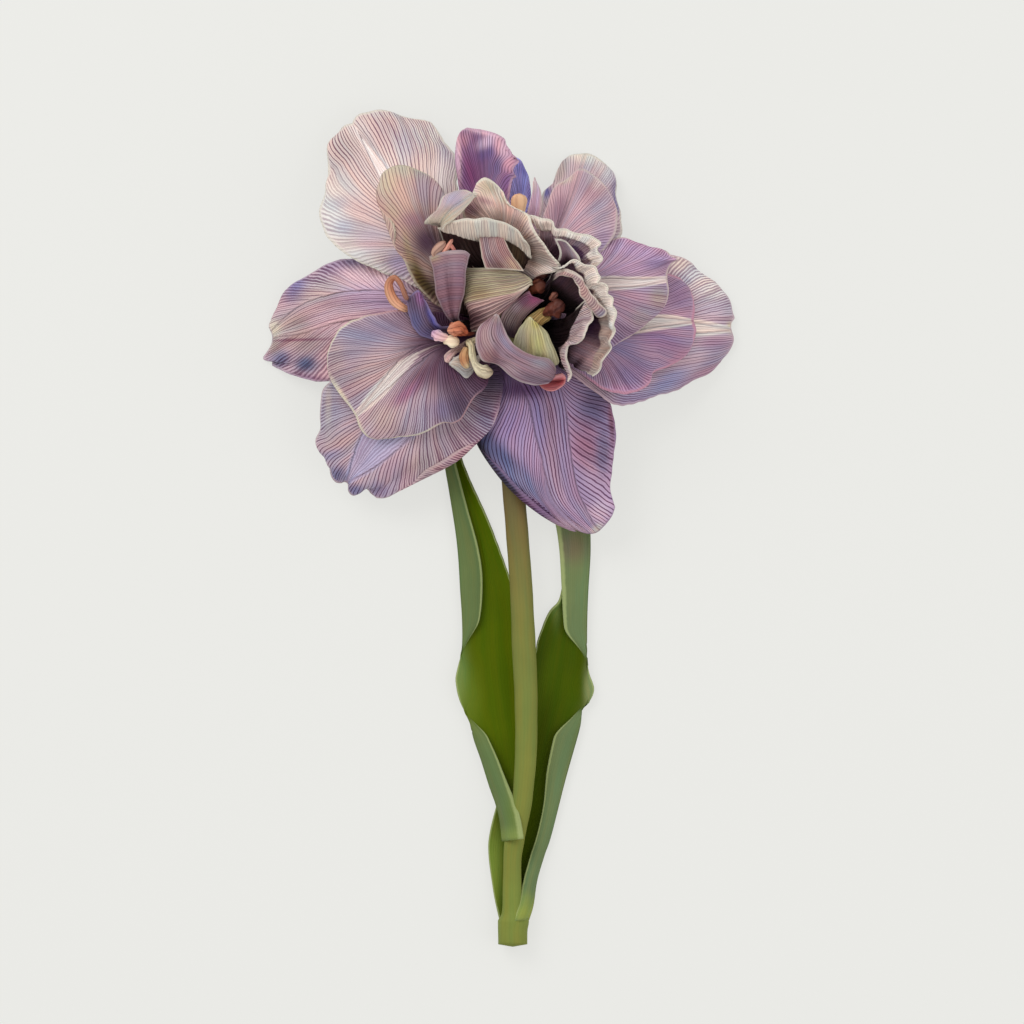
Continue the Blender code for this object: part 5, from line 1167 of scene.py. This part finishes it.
stem = dict(
    path=[(2.15, -167.9, -13.2, 4.0), (2.15, -165.8, -13.2, 4.0), (2.15, -163, -13.2, 4.05), (2.3, -160.8, -13.2, 4.2),
        (2.2, -159.4, -13.1, 3.6), (2.0, -157.4, -12.9, 2.7), (2.0, -150, -12.7, 2.5), (2.1, -144, -12.2, 2.5),
        (2.6, -139.5, -11.8, 2.7), (3.3, -136, -11.6, 2.6), (4.6, -129, -11.3, 2.7), (5.4, -121, -11.2, 2.85),
        (5.7, -114.8, -11.2, 2.95), (5.8, -106, -11.2, 3.05), (5.7, -98, -11.1, 3.15), (5.2, -87.8, -10.9, 3.2),
        (4.8, -78, -10.7, 3.1), (4.3, -69, -10.6, 3.05), (3.7, -60, -10.4, 3.05), (3.0, -52, -10.2, 3.0),
        (2.2, -42, -10, 3.05), (1.2, -30, -9.7, 3.1), (0.4, -19, -9, 3.2), (0, -11, -8, 3.4), (0, -5.4, -6.4, 3.9),
        (0, -1.8, -4, 5.0), (0, 0, -1.8, 6.3), (0, 0, 0.2, 6.2), (0, 0, 2.2, 5.0), (0, 0, 4.0, 3.4), (0, 0, 4.8, 1.6)],
    colours=["77803b", "7c863d", "7b823c", "77803c", "757e3c", "737b3b", "757b3c", "767a3d", "74753e", "736e3e",
        "6f623c", "6c5d3b", "675639", "644a37", "736c4c", "84865a"],
    veins=20, ink=0.1, cap=0.08, grid=(260, 40), lump=0.02, lumpSize=9,
)
stemPiece = makeTubes("stem_round", [stem], finishes[slotOf["stem"]])
settle(stemPiece, "stem")
print("stem made")

stamens = {
    "left_looped_stamen": [
        dict(path=[(-6.1, 1.8, 2.6, 0.6), (-16, 2.4, 6, 0.6), (-24, 3.4, 10, 0.8), (-27.8, 4.9, 12.4, 1.2),
                 (-29.9, 6.6, 13.2, 1.5), (-31.2, 9.2, 13.8, 1.5), (-31.2, 11.6, 14.2, 1.3), (-29.7, 12.8, 14.8, 1.2),
                 (-28.2, 11.2, 15.2, 1.2), (-27.2, 8.8, 15.2, 1.3), (-26.2, 6.6, 15, 1.0)],
             colours=["1a1012", "1a1012", "4a3438", "a06a56", "c08868", "d09878", "dca684", "cc9270", "b87a5c",
                 "a86e54", "946452"],
             flat=0.55, veins=9, lump=0.08, lumpSize=2.2, spin=0.4, grid=(90, 28)),
    ],
    "left_ruffled_stamen": [
        dict(path=[(-3.4, -0.9, 5, 0.6), (-7, -2, 10, 0.6), (-10.6, -2.4, 14, 0.8), (-13, -1.2, 17.4, 2.2),
                 (-14, -1.2, 17.8, 2.5), (-15.6, -1.6, 17.6, 1.4)],
             colours=["1a1012", "1a1012", "1a1012", "8e4630", "b06444", "c48c70"],
             flat=0.62, veins=7, ink=0.5, lump=0.42, lumpSize=1.7, cap=1.0, grid=(72, 44)),
        dict(path=[(-15, -3.4, 16.6, 0.8), (-17, -3.2, 16.8, 1.5), (-18.6, -2.4, 16.6, 1.5), (-19.6, -1.6, 16, 0.8)],
             colours=["d8b4a4", "d0aeac", "c4a4b0", "b094b4"],
             flat=0.3, veins=7, ink=0.4, lump=0.2, lumpSize=2.2, cap=1.0, grid=(40, 28)),
        dict(path=[(-12.2, -4.6, 16, 1.2), (-14.2, -4.4, 16.6, 1.7), (-15.6, -4.4, 16.6, 1.2),
                 (-16.6, -4.9, 16.2, 0.6)],
             colours=["c8b49c", "d9cdb0", "dcd0b6", "c8bca0"],
             flat=0.55, veins=6, ink=0.15, lump=0.14, lumpSize=2.4, cap=1.0, grid=(40, 28)),
    ],
    "lower_curled_stamen": [
        dict(path=[(-2, -3.2, 5, 0.6), (-6.6, -3.6, 10, 0.7), (-9.6, -4.8, 15, 1.0), (-9, -5.6, 17, 1.2),
                 (-8.7, -7.8, 17.4, 1.2), (-8.1, -10.4, 17.4, 1.3), (-6.4, -12.2, 17.6, 2.1), (-4.7, -12.7, 18, 2.5),
                 (-3.1, -12.5, 18, 1.7)],
             colours=["1a1012", "8c7a6c", "d2c8a4", "d8cea6", "d2c8a2", "cfc6a0", "d0c8a8", "c8bea0", "a89a80"],
             flat=0.75, veins=6, ink=0.25, lump=0.12, lumpSize=2.4, cap=1.0, grid=(80, 28)),
        dict(path=[(-10.2, -6, 15.6, 0.8), (-11, -8, 16.4, 1.3), (-10.8, -10, 16.4, 1.2), (-9.8, -11.6, 16, 0.8)],
             colours=["c0a880", "b08a62", "a87e5a", "c8bc94"],
             flat=0.8, veins=5, ink=0.4, lump=0.1, lumpSize=2, cap=1.0, grid=(40, 24)),
    ],
    "top_stamen": [
        dict(path=[(1.7, 5.8, 2.7, 0.6), (2.8, 16, 8, 0.6), (3.6, 26, 12.6, 0.7), (3.8, 31.2, 14, 1.9),
                 (3.8, 33.4, 14.3, 2.3), (4, 35.6, 14.4, 1.8)],
             colours=["4a3438", "6a4a50", "b08a78", "dcae84", "e3b98f", "d8aa84"],
             flat=0.55, veins=5, ink=0.2, lump=0.06, cap=0.7, grid=(64, 28)),
    ],
    "upper_left_stamen": [
        dict(path=[(-2.7, 3, 5, 0.6), (-8, 8, 9, 0.6), (-14, 14, 14, 0.7), (-17.6, 17.8, 18, 0.9), (-19, 19.6, 20, 1.1),
                 (-18, 20.9, 20.6, 1.4), (-16.8, 21.9, 20.6, 1.3), (-15.9, 22.6, 20.4, 0.8)],
             colours=["1a1012", "2a1a1c", "4a3438", "8c6a58", "a08070", "ac8c7a", "b0907e", "a88878"],
             flat=0.75, veins=4, ink=0.5, lump=0.1, lumpSize=2.4, cap=0.9, grid=(64, 24)),
    ],
    "upper_middle_stamen": [
        dict(path=[(-1.6, 4.1, 5, 0.6), (-7, 8, 9, 0.6), (-13, 13.6, 14, 0.6), (-15.6, 17, 17, 0.6),
                 (-16.8, 19, 19.6, 0.6), (-15.4, 21.2, 20.8, 0.75), (-14, 23.3, 21, 0.5)],
             colours=["1a1012", "1a1012", "4a3438", "8a5a50", "c48c78", "cf9884", "c88e7c"],
             flat=0.8, veins=4, ink=0.25, grid=(56, 20)),
        dict(path=[(-15.4, 20.4, 20, 0.4), (-14.6, 21.4, 20.7, 0.6), (-13.9, 20.6, 20.6, 0.6), (-13.3, 19.7, 20, 0.5)],
             colours=["b87a6c", "c4806f", "b8766a", "a06058"],
             flat=0.8, veins=4, grid=(30, 18)),
    ],
    "centre_stamen": [
        dict(path=[(1.4, 3, 5, 0.6), (4.4, 6.4, 9.4, 0.6), (6.6, 9, 12, 0.8), (8.4, 10.2, 13.2, 1.9),
                 (9.8, 10.6, 13.4, 2.1), (11.4, 10.8, 13.2, 1.2)],
             colours=["1a1012", "2a1a1c", "54281e", "683626", "6c3a28", "4a2620"],
             flat=0.85, veins=4, ink=0.6, lump=0.22, lumpSize=1.8, cap=1.0, grid=(56, 32)),
        dict(path=[(6.9, 13, 12.6, 0.6), (7.8, 13.4, 13.4, 1.0), (8.8, 13, 13.4, 0.9), (10.2, 13.6, 13.4, 1.1),
                 (11.6, 13.2, 13.2, 0.8)],
             colours=["5c2c26", "6c3a30", "5a2c28", "62382c", "442420"],
             flat=0.9, veins=3, ink=0.5, lump=0.3, lumpSize=1.6, cap=1.0, grid=(44, 24)),
    ],
    "right_stamen": [
        dict(path=[(3.9, -0.1, 5, 0.6), (7.4, 1.4, 9.4, 0.6), (10.6, 3.2, 13.4, 0.8), (12.8, 4.2, 15.6, 1.8),
                 (14.4, 5.0, 16.2, 2.1), (16, 6.2, 16, 1.4)],
             colours=["1a1012", "2a1a1c", "522a22", "643428", "603226", "4a2822"],
             flat=0.8, veins=4, ink=0.7, lump=0.32, lumpSize=1.9, cap=1.0, grid=(60, 32)),
        dict(path=[(12.2, 6.6, 14.8, 0.6), (13.4, 8, 15.4, 0.9), (14.2, 8.8, 15.4, 0.5)],
             colours=["704236", "7c4e3e", "60362e"],
             flat=0.8, veins=3, ink=0.5, lump=0.2, lumpSize=2, cap=1.0, grid=(28, 18)),
    ],
    "pistil": [
        dict(path=[(0, 0, 5.2, 1.8), (0, 0, 7, 1.6), (0, 0, 8.2, 1.5), (0, 0, 9, 1.6), (0, 0, 9.8, 1.2)],
             colours=["3a3626", "3e3a28", "46422c", "5a5438", "625c3c"],
             veins=3, lump=0.05, grid=(40, 28)),
    ],
}
for node, tubes in stamens.items():
    settle(makeTubes(node + "_shaped", tubes, finishes[slotOf[node]]), node)
print("stamens and pistil made:", len(stamens))


# the surface, the light and the camera

paper = {"colour": "e9e9e5", "half": 3.0, "roughness": 0.9, "glow": 1.0, "glowShare": 0.8}
lamps = {
    "key": {"at": (-0.55, 0.6, 0.9), "size": 0.7, "power": 7.0},
    "fill": {"at": (0.8, -0.2, 0.8), "size": 1.0, "power": 3.5},
}
worldLight = 0.62
camera = {"height": 1.5, "field": 0.2765, "over": (0.00286, 0.00362), "sensor": 36, "far": 20}


def makeFloor():
    bm = bmesh.new()
    bmesh.ops.create_grid(bm, x_segments=1, y_segments=1, size=paper["half"])
    mesh = bpy.data.meshes.new("floor")
    bm.to_mesh(mesh)
    bm.free()
    floor = bpy.data.objects.new("floor", mesh)
    bpy.context.scene.collection.objects.link(floor)
    material, tree, shader = newMaterial("floor_paper")
    colour = (*linear(paper["colour"]), 1)
    shader.inputs["Base Color"].default_value = colour
    shader.inputs["Roughness"].default_value = paper["roughness"]
    # the camera sees it evenly bright, with the shadows faintly on it
    glow = addNode(tree, "ShaderNodeEmission", {"Color": colour, "Strength": paper["glow"]})
    seen = addNode(tree, "ShaderNodeLightPath").outputs["Is Camera Ray"]
    mix = addNode(tree, "ShaderNodeMixShader", {
        0: maths(tree, "MULTIPLY", seen, paper["glowShare"]),
        1: shader.outputs[0],
        2: glow.outputs[0],
    })
    tree.links.new(mix.outputs[0], tree.nodes["Material Output"].inputs["Surface"])
    floor.data.materials.append(material)


def addLamps():
    for name, lamp in lamps.items():
        light = bpy.data.lights.new(name, "AREA")
        light.size = lamp["size"]
        light.energy = lamp["power"]
        holder = bpy.data.objects.new(name, light)
        holder.location = lamp["at"]
        holder.rotation_euler = (-Vector(lamp["at"])).to_track_quat("-Z", "Y").to_euler()
        bpy.context.scene.collection.objects.link(holder)
    world = bpy.data.worlds.new("studio")
    bpy.context.scene.world = world
    world.use_nodes = True
    background = world.node_tree.nodes["Background"]
    background.inputs["Color"].default_value = (1, 1, 1, 1)
    background.inputs["Strength"].default_value = worldLight


def addCamera():
    low, high = (Vector(corner) for corner in cadBox)
    middle = (low + high) / 2
    lens = bpy.data.cameras.new("camera")
    holder = bpy.data.objects.new("camera", lens)
    holder.location = (middle.x + camera["over"][0], middle.y + camera["over"][1], camera["height"])
    lens.sensor_width = camera["sensor"]
    lens.lens = camera["sensor"] * (camera["height"] - heart[2]) / camera["field"]
    lens.clip_end = camera["far"]
    bpy.context.scene.collection.objects.link(holder)
    bpy.context.scene.camera = holder


makeFloor()
addLamps()
addCamera()
bpy.context.scene.view_settings.view_transform = "Standard"
